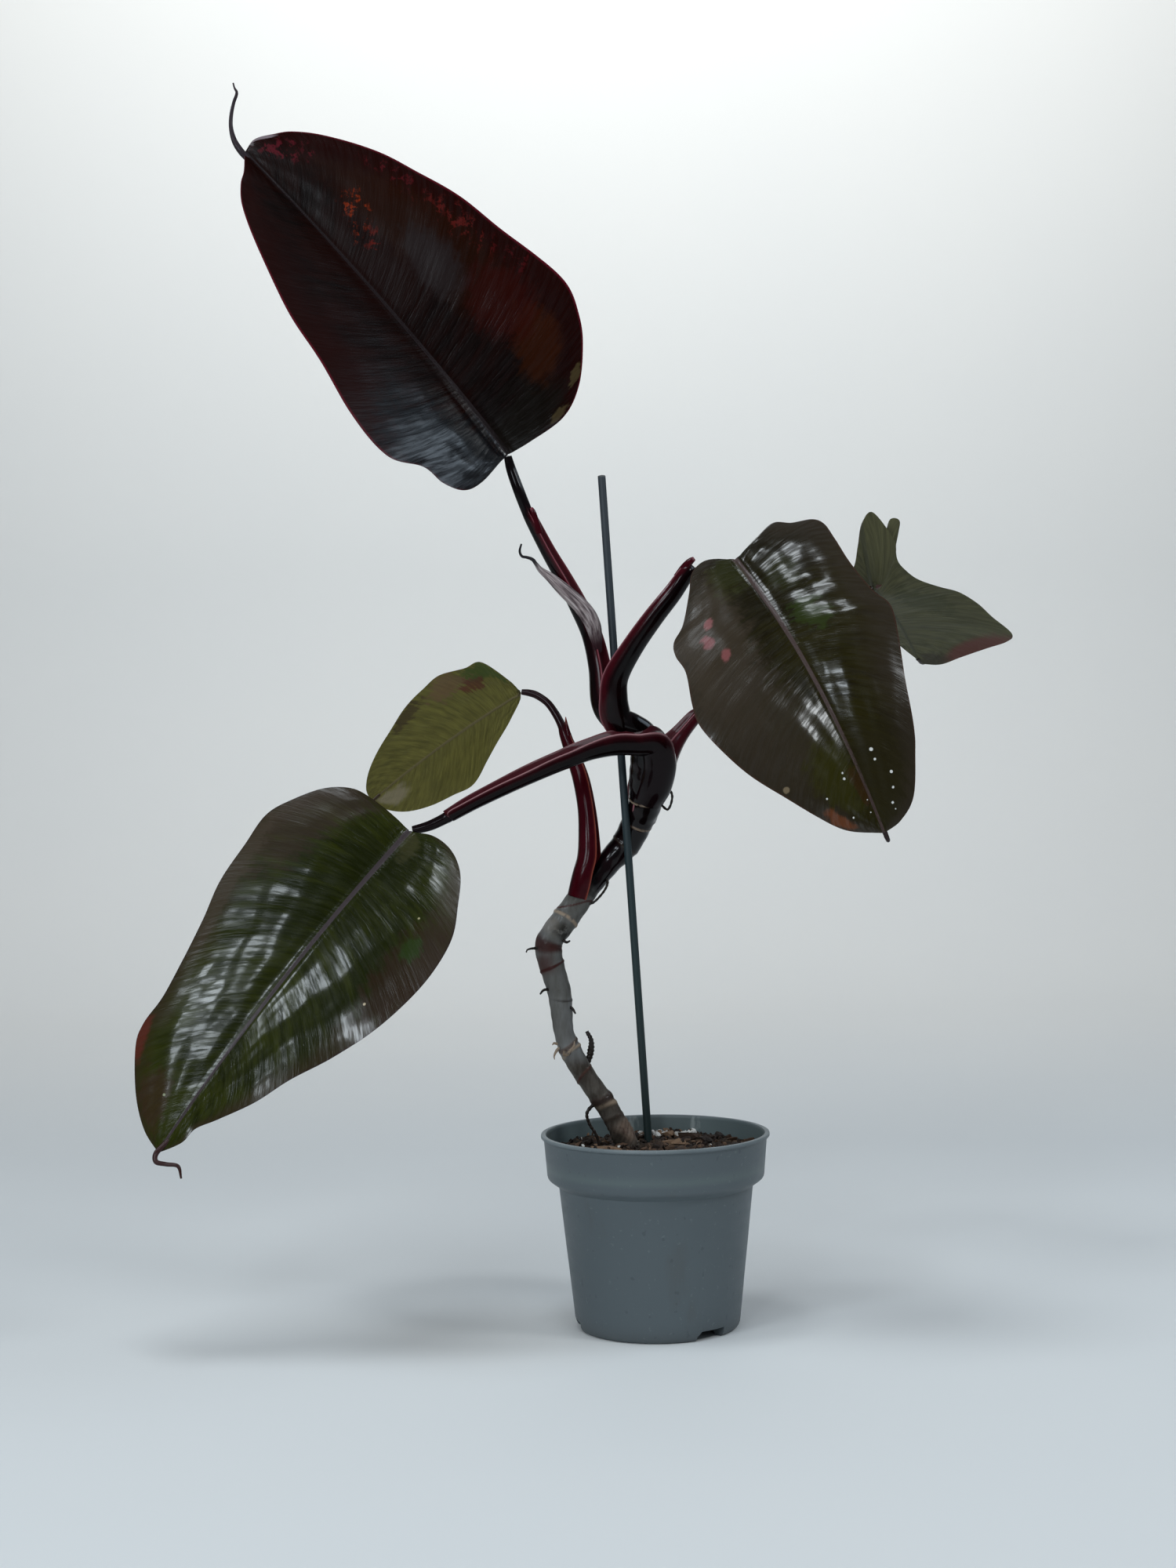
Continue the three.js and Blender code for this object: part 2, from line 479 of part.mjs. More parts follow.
// A blade as a closed solid: the same triangles on both faces, a little thicker along the midrib below,
// with its drawn-out tip joined on.
function makeBlade(leaf) {
  const { rows, columns } = leaf;
  const { point, normal } = leafSurface(leaf);
  const { place, upper } = leafFrame(leaf);
  const across = (j) => (Math.abs(j) / columns) ** BLADE.spread;
  const points = [];
  const at = new Map();
  for (let i = 0; i <= rows; i++) {
    const s = i / rows;
    const pole = i === 0 || i === rows;
    for (let j = pole ? 0 : -columns; j <= (pole ? 0 : columns); j++) {
      const side = j < 0 ? -1 : 1;
      const t = across(j);
      const middle = point(s, t, side);
      const n = normal(s, t, side);
      const ridge = j === 0 ? BLADE.ridgeDepth * (1 - BLADE.ridgeTaper * s) : 0;
      at.set(`${i},${j}`, points.length);
      points.push(middle.clone().addScaledVector(n, BLADE.thickness / 2));
      points.push(middle.clone().addScaledVector(n, -BLADE.thickness / 2 - ridge));
    }
  }
  const triangles = [];
  const face = (a, b, c) => {
    triangles.push([a, c, b], [a + 1, b + 1, c + 1]);
  };
  for (let i = 0; i < rows; i++) {
    for (let j = -columns; j < columns; j++) {
      const low = (k) => at.get(i === 0 ? '0,0' : `${i},${k}`);
      const high = (k) => at.get(i === rows - 1 ? `${rows},0` : `${i + 1},${k}`);
      if (i > 0) face(low(j), low(j + 1), high(j));
      if (i < rows - 1) face(low(j + 1), high(j + 1), high(j));
    }
    [-columns, columns].forEach((j) => {
      const a = at.get(i === 0 ? '0,0' : `${i},${j}`);
      const b = at.get(i === rows - 1 ? `${rows},0` : `${i + 1},${j}`);
      triangles.push(...(j > 0 ? [[a, b + 1, a + 1], [a, b, b + 1]] : [[a + 1, b, a],
        [a + 1, b + 1, b]]));
    });
  }
  const tail = leaf.tail.map(([x, y, z, r]) => [...place(x, y, z).toArray(), r]);
  const thread = sweep(tail, 2 * (tail.length - 1), upper, round(TAIL_SIDES));
  return solid(faceted(points, triangles)).add(solid(thread));
}

function makeWithered() {
  const flattened = (halfWidth) => Array.from({ length: WITHERED.sides }, (_, k) => {
    const angle = 2 * Math.PI * k / WITHERED.sides;
    const depth = Math.max(halfWidth * WITHERED.flatness, WITHERED.thinnest);
    return [halfWidth * Math.cos(angle), depth * Math.sin(angle)];
  });
  return solid(sweep(WITHERED.stations, WITHERED.steps, vector(WITHERED.facing), flattened));
}

const material = (colour, roughness) => (
  new THREE.MeshStandardMaterial({ color: colour, roughness, metalness: 0 })
);
const ROUGHNESS = { plastic: 0.5, earth: 0.95, bark: 0.75, stalk: 0.35, leaf: 0.25 };

const plant = new THREE.Group();
function add(name, geometry, colour, roughness) {
  geometry.computeVertexNormals();
  const mesh = new THREE.Mesh(geometry, material(colour, roughness));
  mesh.name = name;
  plant.add(mesh);
}

add('pot', makePot(), 0x59646b, ROUGHNESS.plastic);
add('soil', makeSoil(makeStem(GAP)), 0x33261c, ROUGHNESS.earth);
add('stake', stakeGeometry(), 0x1f2c33, ROUGHNESS.plastic);
add('stem', largestBody(makeStem()), 0x4c443e, ROUGHNESS.bark);

// Each petiole clasps the stem, and those listed before it, and carries its blade on its end.
const taken = [makeStem(GAP)];
Object.entries(PETIOLES).forEach(([name, { stations, channel, colour }]) => {
  const steps = PETIOLE_STEPS * (stations.length - 1);
  const grown = (grow) => solid(sweep(stations, steps, vector(channel),
    (radius, sheath) => petioleSection(radius, sheath, grow), grow));
  const petiole = taken.reduce((body, other) => body.subtract(other), grown(0));
  add(name, largestBody(petiole), colour, ROUGHNESS.stalk);
  taken.push(grown(GAP));
});

Object.entries(LEAVES).forEach(([name, leaf]) => {
  add(name, largestBody(makeBlade(leaf)), leaf.colour, ROUGHNESS.leaf);
});
const withered = taken.reduce((body, other) => body.subtract(other), makeWithered());
add('withered_new_leaf', largestBody(withered), 0x7d6468, ROUGHNESS.bark);

export default plant;
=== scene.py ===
"""A potted climbing philodendron with dark red leaves: what each piece looks like, in the order in
which the plant is put together. Metres in the scene, millimetres in the lists of sizes."""

import bpy
import numpy as np
from mathutils import Matrix, Vector


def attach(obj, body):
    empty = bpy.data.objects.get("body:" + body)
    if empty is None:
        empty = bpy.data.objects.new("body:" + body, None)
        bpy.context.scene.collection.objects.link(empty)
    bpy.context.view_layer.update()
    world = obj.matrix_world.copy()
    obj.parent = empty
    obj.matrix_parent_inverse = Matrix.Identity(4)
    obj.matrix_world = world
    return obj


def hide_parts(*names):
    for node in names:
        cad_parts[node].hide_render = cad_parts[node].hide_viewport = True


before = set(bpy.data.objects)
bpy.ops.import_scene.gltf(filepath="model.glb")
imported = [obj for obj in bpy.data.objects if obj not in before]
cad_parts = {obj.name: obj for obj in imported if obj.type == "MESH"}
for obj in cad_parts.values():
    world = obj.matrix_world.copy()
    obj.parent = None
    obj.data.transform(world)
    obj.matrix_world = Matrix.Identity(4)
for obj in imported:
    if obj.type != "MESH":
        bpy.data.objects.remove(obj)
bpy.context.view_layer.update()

MM = 0.001


# The pot: a round nursery pot, moulded in blue-grey recycled plastic. A thin lip runs round the top of
# a tall band, and notches in the foot let water out. One notch is seen, and three are made.


class Wire:
    """A value on its way through a material. The operators add Math nodes to it."""

    def __init__(self, paint, socket):
        self.paint = paint
        self.socket = socket

    def __add__(self, other):
        return self.paint.maths("ADD", self, other)

    def __radd__(self, other):
        return self.paint.maths("ADD", other, self)

    def __sub__(self, other):
        return self.paint.maths("SUBTRACT", self, other)

    def __rsub__(self, other):
        return self.paint.maths("SUBTRACT", other, self)

    def __mul__(self, other):
        return self.paint.maths("MULTIPLY", self, other)

    def __rmul__(self, other):
        return self.paint.maths("MULTIPLY", other, self)

    def __truediv__(self, other):
        return self.paint.maths("DIVIDE", self, other)

    def __pow__(self, other):
        return self.paint.maths("POWER", self, other)


class Paint:
    """The node material of one finish, round a Principled shader."""

    def __init__(self, name, **constants):
        self.material = bpy.data.materials.new(name)
        self.material.use_nodes = True
        self.tree = self.material.node_tree
        self.shader = self.tree.nodes["Principled BSDF"]
        for socket, value in constants.items():
            self.shader.inputs[socket.replace("_", " ")].default_value = value
        self.place = self.node("ShaderNodeTexCoord", {}, {}, "Object")

    def node(self, kind, settings, inputs, output=0):
        """Adds a node: its settings first, then a value or a link for each of its sockets."""
        made = self.tree.nodes.new(kind)
        for name, value in settings.items():
            setattr(made, name, value)
        for key, value in inputs.items():
            if isinstance(value, Wire):
                self.tree.links.new(value.socket, made.inputs[key])
            else:
                made.inputs[key].default_value = value
        return Wire(self, made.outputs[output])

    def maths(self, operation, *values):
        return self.node("ShaderNodeMath", {"operation": operation}, dict(enumerate(values)))

    def step(self, value, start, end):
        """0 before start, 1 after end, and a smooth step between them."""
        return self.node("ShaderNodeMapRange", {"interpolation_type": "SMOOTHSTEP"},
                         {"Value": value, "From Min": start, "From Max": end})

    def noise(self, scale, detail=3, roughness=0.5, at=None):
        vector = self.place if at is None else at
        return self.node("ShaderNodeTexNoise", {}, {"Vector": vector, "Scale": scale, "Detail": detail,
                                                    "Roughness": roughness})

    def stretched(self, size):
        """The coordinates with each axis scaled by its own number."""
        return self.node("ShaderNodeMapping", {}, {"Vector": self.place, "Scale": size})

    def triple(self, *values):
        """Three values as the coordinates of a point."""
        return self.node("ShaderNodeCombineXYZ", {}, dict(enumerate(values)))

    def height(self):
        """How high the point is over the table, in metres."""
        return self.node("ShaderNodeSeparateXYZ", {}, {0: self.place}, 2)

    def mark(self, name):
        """A value that the mesh carries at each of its points."""
        return self.node("ShaderNodeAttribute", {"attribute_name": name}, {}, "Fac")

    def ramp(self, value, *stops):
        """The colour for a value, blended between stops of [value, colour]."""
        colour = self.node("ShaderNodeValToRGB", {}, {0: value})
        elements = colour.socket.node.color_ramp.elements
        while len(elements) < len(stops):
            elements.new(0.5)
        for element, (position, tone) in zip(elements, stops):
            element.position = position
            element.color = (*tone, 1)
        return colour

    def mix(self, share, first, second):
        colours = {6: first, 7: second}
        inputs = {k: v if isinstance(v, Wire) else (*v, 1) for k, v in colours.items()}
        return self.node("ShaderNodeMix", {"data_type": "RGBA"}, {0: share, **inputs}, 2)

    def layers(self, tone, *coats):
        """A colour with others laid over it in turn, each given as [share, colour]."""
        for share, colour in coats:
            tone = self.mix(share, tone, colour)
        return tone

    def bump(self, height, distance, strength=1.0, under=None):
        inputs = {"Height": height, "Distance": distance, "Strength": strength}
        if under is not None:
            inputs["Normal"] = under
        return self.node("ShaderNodeBump", {}, inputs)

    def feeds(self, **wires):
        for socket, wire in wires.items():
            self.tree.links.new(wire.socket, self.shader.inputs[socket.replace("_", " ")])


def mesh_piece(name, points, faces, paint, stands_for=(), marks=None, sharp=40):
    """Makes a mesh from points in millimetres and hands it to the frame."""
    mesh = bpy.data.meshes.new(name)
    mesh.from_pydata((np.asarray(points, float) * MM).tolist(), [], faces)
    for mark, values in (marks or {}).items():
        layer = mesh.attributes.new(mark, "FLOAT", "POINT")
        layer.data.foreach_set("value", np.asarray(values, np.float32).ravel())
    mesh.shade_smooth()
    mesh.set_sharp_from_angle(angle=np.radians(sharp))
    mesh.materials.append(paint.material)
    piece = bpy.data.objects.new(name, mesh)
    bpy.context.scene.collection.objects.link(piece)
    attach(piece, "root")
    if stands_for:
        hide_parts(*stands_for)


def grid_faces(rows, columns, first=0, round_rows=False, round_columns=False):
    """The quads of a grid of points, joined round on themselves where asked."""
    i, j = np.meshgrid(np.arange(rows if round_rows else rows - 1),
                       np.arange(columns if round_columns else columns - 1), indexing="ij")
    below, beside = (i + 1) % rows, (j + 1) % columns
    quads = np.stack([i * columns + j, below * columns + j, below * columns + beside,
                      i * columns + beside], -1)
    return (quads.reshape(-1, 4) + first).tolist()


def fan(centre, ring):
    """Triangles that join one point to a closed ring of points."""
    return [[centre, a, b] for a, b in zip(ring, [*ring[1:], ring[0]])]


NOTCHES = {"count": 3, "azimuth": 38, "width": 19, "height": 5.4, "chamfer": 3, "inner": 37.5}
FOOT_RADIUS = 46
# The profile from the underside round the outside to the lip, then down the inside to the floor: [radius,
# height]. Its first OUTER_POINTS points lie outside.
OUTER_POINTS = 30
profile = np.array([
    (15.5, 0), (15.9, 0.1), (18.8, 2.9), (19.2, 3), (37.4, 3), (38.6, 2.9), (40.8, 0.15), (41.2, 0),
    (44.2, 0), (44.9, 0.2), (45.7, 0.9), (46.3, 1.9), (46.7, 3), (47.1, 6), (48.5, 19), (50, 33),
    (51.6, 47), (53.2, 62), (55.1, 79.6), (55.25, 80.5), (55.8, 81), (56.8, 81.6), (60, 83.9),
    (60.9, 84.7), (61.4, 85.5), (61.7, 86.6), (62.2, 93), (62.8, 100), (63.35, 106.4), (63.6, 107.3),
    (64.7, 107.9), (65, 108.3), (65, 109.3), (64.8, 109.8), (64.3, 110), (62.7, 110), (62.35, 109.8),
    (62, 109), (61.9, 108), (61, 97), (60.3, 88.4), (60.1, 87.2), (59.4, 86.1), (54.9, 82.9),
    (54.1, 82), (53.8, 81), (51, 54), (48, 27), (45.9, 8.6), (45.7, 7), (45.1, 5.4), (44, 4.7),
    (43, 4.6), (20, 4.6), (16.2, 1.6),
], float)
notch_middles = np.radians(NOTCHES["azimuth"] - 90 + 360 * np.arange(NOTCHES["count"]) / NOTCHES["count"])
notch_reach = np.arcsin(NOTCHES["width"] / 2 / FOOT_RADIUS)
chamfer_end = np.arcsin((NOTCHES["width"] / 2 - NOTCHES["chamfer"]) / FOOT_RADIUS)
CLOSE_BY = 0.0004
notch_edges = [-notch_reach - CLOSE_BY, -notch_reach + CLOSE_BY, -chamfer_end,
               notch_reach - CLOSE_BY, notch_reach + CLOSE_BY]
edges = np.mod(np.add.outer(notch_middles, notch_edges).ravel(), 2 * np.pi)
around = np.sort(np.concatenate([np.linspace(0, 2 * np.pi, 144, endpoint=False), edges]))


def notch_height(angle):
    """How high the foot is cut away at an angle: level, with one slanting corner."""
    cut = np.zeros_like(angle)
    half = NOTCHES["width"] / 2
    for middle in notch_middles:
        away = np.mod(angle - middle + np.pi, 2 * np.pi) - np.pi
        sideways = FOOT_RADIUS * np.sin(away)
        inside = (np.abs(sideways) < half) & (np.abs(away) < 1)
        slant = NOTCHES["height"] - NOTCHES["chamfer"] + sideways + half
        cut = np.where(inside, np.minimum(NOTCHES["height"], slant), cut)
    return cut


def turned_pot():
    """A profile turned round the axis. Over a notch, whatever is low and outside its inner end is
    lifted to the notch's height, and the floor above it by a wall's thickness more."""
    radius = np.repeat(profile[None, :, 0], len(around), 0)
    height = np.repeat(profile[None, :, 1], len(around), 0)
    cut = notch_height(around)[:, None]
    outer = np.arange(len(profile)) < OUTER_POINTS
    low = (radius > NOTCHES["inner"]) & (cut > 0)
    height = np.where(low & outer, np.maximum(height, cut), height)
    height = np.where(low & ~outer & (height < 20), np.maximum(height, cut + 1), height)
    return np.stack([radius * np.cos(around)[:, None], radius * np.sin(around)[:, None], height], -1)


shell = turned_pot().reshape(-1, 3)
turns, rings = len(around), len(profile)
pot_points = np.vstack([shell, [[0, 0, 0], [0, 0, 1.6]]])
pot_faces = [face[::-1] for face in grid_faces(turns, rings, round_rows=True)]
pot_faces += fan(len(shell), range(0, turns * rings, rings)[::-1])
pot_faces += fan(len(shell) + 1, range(rings - 1, turns * rings, rings))

plastic = Paint("recycled plastic", Roughness=0.42, Specular_IOR_Level=0.45)
soft_patches = plastic.noise(14, 4)
fine_specks = plastic.step(plastic.noise(420, 2), 0.66, 0.74)
dark_specks = plastic.step(plastic.noise(230, 1, at=plastic.stretched((1, 1.3, 0.8))), 0.7, 0.76)
height_up = plastic.height()
splashes = plastic.step(plastic.noise(55, 5, 0.6, plastic.stretched((1, 1, 0.35))), 0.56, 0.72)
soil_line = plastic.step(height_up, 0.098, 0.1) * (1 - plastic.step(height_up, 0.103, 0.1085))
foot_dust = 1 - plastic.step(height_up, 0.0, 0.012)
lip_wear = plastic.step(height_up, 0.1078, 0.1095) * plastic.step(soft_patches, 0.2, 0.6)
level_place = plastic.stretched((1, 1, 0))
from_axis = plastic.node("ShaderNodeVectorMath", {"operation": "LENGTH"}, {0: level_place}, 1)
inner_wall = plastic.step(height_up, 0.088, 0.092) * (1 - plastic.step(from_axis, 0.0618, 0.0626))
scale_marks = plastic.step(splashes + soft_patches, 0.5, 1.2)
stained = plastic.mix(scale_marks, (0.12, 0.155, 0.155), (0.3, 0.34, 0.33))
pot_tone = plastic.layers(
    plastic.mix(soft_patches, (0.086, 0.108, 0.119), (0.099, 0.124, 0.136)),
    (fine_specks * 0.2, (0.24, 0.28, 0.29)),
    (dark_specks * 0.35, (0.04, 0.05, 0.06)),
    (splashes * (0.18 + 0.3 * soil_line), (0.075, 0.066, 0.052)),
    (foot_dust * 0.25, (0.06, 0.055, 0.05)),
    (lip_wear * 0.6, (0.27, 0.31, 0.32)),
    (inner_wall * 0.85, stained))
moulding = plastic.bump(plastic.noise(900, 2), 0.00012, 0.35)
scuffs = plastic.noise(60, 4, 0.6, plastic.stretched((1, 1, 3)))
plastic.feeds(Base_Color=pot_tone, Roughness=0.36 + 0.22 * scuffs, Normal=moulding)
mesh_piece("nursery_pot", pot_points, pot_faces, plastic, ["pot"], sharp=32)


# The potting mix: coarse composted bark, loose and damp, filled to 10 mm under the rim. It is a lumpy
# bed with several hundred loose bits of bark lying on it, and a drift of white crumbs at the back.

SOIL_LEVEL = 100
rng = np.random.default_rng(7)


def bumpy(x, y):
    """Height of the bed: the same slow waves as the solid below it, and finer crumbs over them."""
    slow = np.sin(0.31 * x + 1) * np.cos(0.27 * y) + 0.6 * np.sin(0.13 * x - 0.49 * y + 2)
    fine = np.sin(1.1 * x + 0.7 * y) * np.cos(0.9 * y - 0.5 * x + 1)
    fine += 0.6 * np.sin(2.3 * x + 1) * np.sin(1.9 * y)
    return SOIL_LEVEL + 1.1 * slow + 0.5 * fine


bed_turns, bed_rings = 120, 44
turn = np.linspace(0, 2 * np.pi, bed_turns, endpoint=False)
bed_radii = np.linspace(60.3, 0.8, bed_rings)
bed_x = bed_radii[:, None] * np.cos(turn)
bed_y = bed_radii[:, None] * np.sin(turn)
bed_z = bumpy(bed_x, bed_y) + 0.35 * rng.standard_normal(bed_x.shape)
bed_z[0] = SOIL_LEVEL - 1.5
BED_SIDES = [(45.4, 6.5), (47.8, 27), (53.2, 81), (59.2, 87)]
bed_sides = [np.stack([r * np.cos(turn), r * np.sin(turn), 0 * turn + z], -1) for r, z in BED_SIDES]
bed = np.concatenate([bed_sides, np.stack([bed_x, bed_y, bed_z], -1)])
bed_points = [*bed.reshape(-1, 3), (0, 0, 6.5), (0, 0, bumpy(0, 0))]
bed_rows = len(bed)
bed_faces = [face[::-1] for face in grid_faces(bed_rows, bed_turns, round_columns=True)]
bed_size = bed_rows * bed_turns
bed_faces += fan(bed_size, range(bed_turns)[::-1]) + fan(bed_size + 1, range(bed_size - bed_turns, bed_size))

mix = Paint("potting mix", Roughness=0.9, Specular_IOR_Level=0.3)
grains = mix.noise(260, 6, 0.65)
earth = mix.ramp(grains, (0.3, (0.006, 0.004, 0.003)), (0.5, (0.026, 0.016, 0.01)),
                 (0.68, (0.075, 0.045, 0.026)))
mix.feeds(Base_Color=earth, Normal=mix.bump(grains, 0.0012, 0.8))
mesh_piece("potting_mix", bed_points, bed_faces, mix, ["soil"])

golden = (1 + 5**0.5) / 2
ball = np.array([(-1, golden, 0), (1, golden, 0), (-1, -golden, 0), (1, -golden, 0), (0, -1, golden),
                 (0, 1, golden), (0, -1, -golden), (0, 1, -golden), (golden, 0, -1), (golden, 0, 1),
                 (-golden, 0, -1), (-golden, 0, 1)]) / 1.9
ball_faces = np.array([(0, 11, 5), (0, 5, 1), (0, 1, 7), (0, 7, 10), (0, 10, 11), (1, 5, 9), (5, 11, 4),
                       (11, 10, 2), (10, 7, 6), (7, 1, 8), (3, 9, 4), (3, 4, 2), (3, 2, 6), (3, 6, 8),
                       (3, 8, 9), (4, 9, 5), (2, 4, 11), (6, 2, 10), (8, 6, 7), (9, 8, 1)])


def turned_about(angles):
    """Rotation matrices from a turn about Z, then a tilt about X and one about Y, in radians."""
    spin, tilt, lean = angles.T
    one, none = np.ones_like(spin), np.zeros_like(spin)
    about_z = np.array([[np.cos(spin), -np.sin(spin), none], [np.sin(spin), np.cos(spin), none],
                        [none, none, one]])
    about_x = np.array([[one, none, none], [none, np.cos(tilt), -np.sin(tilt)],
                        [none, np.sin(tilt), np.cos(tilt)]])
    about_y = np.array([[np.cos(lean), none, np.sin(lean)], [none, one, none],
                        [-np.sin(lean), none, np.cos(lean)]])
    return np.einsum("ijn,jkn,kln->nil", about_z, about_x, about_y)


def loose_bits(name, middles, sizes, angles, paint):
    """Rough lumps: a twenty-sided ball with each corner moved, stretched, turned and put in place."""
    count = len(middles)
    corners = ball[None] * (1 + 0.22 * rng.standard_normal((count, 12, 1))) * sizes[:, None, :] / 2
    places = np.einsum("nij,nkj->nki", turned_about(angles), corners) + middles[:, None, :]
    faces = (ball_faces[None] + 12 * np.arange(count)[:, None, None]).reshape(-1, 3).tolist()
    tones = np.repeat(rng.random(count), 12)
    mesh_piece(name, places.reshape(-1, 3), faces, paint, (), {"tone": tones}, 20)


bark = Paint("bark bits", Roughness=0.8, Specular_IOR_Level=0.35)
fibres = bark.noise(600, 3, 0.6, bark.stretched((1, 0.3, 1)))
bark_colour = bark.ramp(
    bark.mark("tone") * 0.82 + fibres * 0.22,
    (0.0, (0.008, 0.005, 0.004)), (0.45, (0.03, 0.017, 0.011)), (0.75, (0.085, 0.046, 0.026)),
    (0.93, (0.2, 0.12, 0.07)), (1.0, (0.33, 0.24, 0.16)))
bark.feeds(Base_Color=bark_colour, Normal=bark.bump(fibres, 0.0006, 0.7))

BITS = 620
far_out = 59.0 * np.sqrt(rng.random(BITS))
where = 2 * np.pi * rng.random(BITS)
bit_x, bit_y = far_out * np.cos(where), far_out * np.sin(where)
long_side = 2.2 + 7.5 * rng.random(BITS) ** 2.2
wide_side = long_side * (0.35 + 0.4 * rng.random(BITS))
bit_sizes = np.stack([long_side, wide_side, 1 + 2.6 * rng.random(BITS)], -1)
within_pot = np.clip((60.2 - long_side * 0.55) / np.maximum(far_out, 1), 0, 1)
bit_x, bit_y = bit_x * within_pot, bit_y * within_pot
bit_z = bumpy(bit_x, bit_y) + 0.25 * bit_sizes[:, 2]
bit_angles = np.stack([2 * np.pi * rng.random(BITS), 0.35 * rng.standard_normal(BITS),
                       0.35 * rng.standard_normal(BITS)], -1)
loose_bits("bark_bits", np.stack([bit_x, bit_y, bit_z], -1), bit_sizes, bit_angles, bark)

# Bigger chips, [x, y, z, length, width, thickness, turn, tilt] in millimetres and degrees.
CHIPS = np.array([
    (21, 31, 102.3, 14, 7, 6, 12, 8), (-26, -4, 101.2, 18, 7, 4, -20, 4), (34, -22, 101, 12, 7, 4, 55, -6),
    (6, -40, 101, 15, 6, 4, 160, 5), (30, 20, 102, 11, 6, 5, 40, 14), (9, 38, 102.5, 12, 7, 5, 75, 10),
    (38, 34, 102, 10, 6, 4, 100, -12), (-12, 40, 102, 12, 6, 4, 30, 8), (-38, 26, 101.5, 13, 6, 4, 150, -8),
    (14, 14, 101.6, 10, 5, 4, 20, 15), (46, 4, 101.5, 10, 6, 4, 95, 10), (-46, -18, 101, 9, 5, 4, 60, 5),
])
chip_turns = np.stack([np.radians(CHIPS[:, 6]), np.radians(CHIPS[:, 7]), np.radians(CHIPS[:, 7]) / 2], -1)
loose_bits("bark_chips", CHIPS[:, :3], CHIPS[:, 3:6], chip_turns, bark)

crumbs = Paint("perlite", Roughness=0.9)
crumbs.feeds(Normal=crumbs.bump(crumbs.noise(700, 3), 0.0005, 0.8),
             Base_Color=crumbs.mix(crumbs.noise(120, 3), (0.42, 0.4, 0.36), (0.85, 0.84, 0.81)))
# Most of the crumbs lie in one drift at the back, and the last few are scattered.
PERLITE, STRAY = 78, 10
crumb_at = np.stack([rng.normal(10, 8, PERLITE), rng.normal(47, 4, PERLITE)], -1)
crumb_at[-STRAY:] = np.stack([rng.uniform(-48, 48, STRAY), rng.uniform(-30, 40, STRAY)], -1)
crumb_size = rng.uniform(1.4, 3.6, (PERLITE, 1)) * rng.uniform(0.7, 1.2, (PERLITE, 3))
crumb_z = bumpy(crumb_at[:, 0], crumb_at[:, 1]) + 1.0
loose_bits("perlite_crumbs", np.column_stack([crumb_at, crumb_z]), crumb_size,
           rng.uniform(0, 6, (PERLITE, 3)), crumbs)


# The support stick: a thin straight rod with a flat top, slate grey above and blue green towards the
# mix. It is only pushed into the mix.

STAKE_RADIUS = 2.25
stake_top, stake_soil = np.array([-24.4, 14, 485]), np.array([-3.4, 24, 102])
STAKE_BURIED = 88


def smooth_path(points, u):
    """A Catmull-Rom curve: it leaves each point in the direction from the one before to the one after."""
    p = np.asarray(points, float)
    p = np.vstack([2 * p[0] - p[1], p, 2 * p[-1] - p[-2]])
    place = np.clip(u, 0, 1) * (len(points) - 1)
    i = np.minimum(place.astype(int), len(points) - 2)
    w = (place - i)[..., None]
    before, start, end, after = p[i], p[i + 1], p[i + 2], p[i + 3]
    leave, arrive = (end - before) / 2, (after - start) / 2
    return ((2 * w**3 - 3 * w**2 + 1) * start + (w**3 - 2 * w**2 + w) * leave
            + (3 * w**2 - 2 * w**3) * end + (w**3 - w**2) * arrive)


def swept(centres, radii, section, up):
    """A closed section carried along a path. The section is [across, outwards] in radii for each ring;
    outwards is `up` made square to the path, so the section doesn't spin. Both ends get a cap."""
    along = np.gradient(centres, axis=0)
    along /= np.linalg.norm(along, axis=1, keepdims=True)
    up = np.asarray(up, float)
    outwards = up - along * (along @ up)[:, None]
    outwards /= np.linalg.norm(outwards, axis=1, keepdims=True)
    across = np.cross(along, outwards)
    ring = section * radii[:, None, None]
    points = centres[:, None] + across[:, None] * ring[..., :1] + outwards[:, None] * ring[..., 1:]
    rows, columns = points.shape[:2]
    ends = np.array([centres[0] - 0.2 * radii[0] * along[0], centres[-1] + 0.2 * radii[-1] * along[-1]])
    faces = [face[::-1] for face in grid_faces(rows, columns, round_columns=True)]
    size = rows * columns
    faces += fan(size, range(columns)) + fan(size + 1, range(size - columns, size)[::-1])
    return np.vstack([points.reshape(-1, 3), ends]), faces


def round_section(rings, sides):
    angle = 2 * np.pi * np.arange(sides) / sides
    return np.repeat(np.stack([np.cos(angle), np.sin(angle)], -1)[None], rings, 0)


stake_length = np.linalg.norm(stake_soil - stake_top) + STAKE_BURIED
stake_down = (stake_soil - stake_top) / np.linalg.norm(stake_soil - stake_top)
down = np.concatenate([[0, 0.05, 0.25, 0.6], np.linspace(2, stake_length - 2, 90), [stake_length]])
stake_line = stake_top + down[:, None] * stake_down
stake_radii = STAKE_RADIUS * np.where(down < 0.06, 0.88, np.where(down < 0.3, 0.96, 1.0))
stick_points, stick_faces = swept(stake_line, stake_radii, round_section(len(down), 24), (0, -1, 0))
stick = Paint("painted stick", Roughness=0.45)
stick_height = stick.height()
grain = stick.noise(500, 3, 0.6, stick.stretched((1, 1, 0.05)))
sawn = stick.step(stick_height, 0.4838, 0.4846)
stick_tone = stick.ramp(
    (stick_height - 0.1) / 0.39, (0.0, (0.006, 0.02, 0.018)), (0.32, (0.009, 0.03, 0.031)),
    (0.6, (0.02, 0.033, 0.042)), (1.0, (0.037, 0.046, 0.055)))
stick_tone = stick.layers(
    stick_tone, (grain * 0.45, (0.012, 0.016, 0.02)), (sawn * 0.7, (0.12, 0.12, 0.11)))
stick.feeds(Base_Color=stick_tone, Normal=stick.bump(grain, 0.0002, 0.5), Roughness=0.38 + 0.3 * grain)
mesh_piece("support_stick", stick_points, stick_faces, stick, ["stake"], sharp=50)


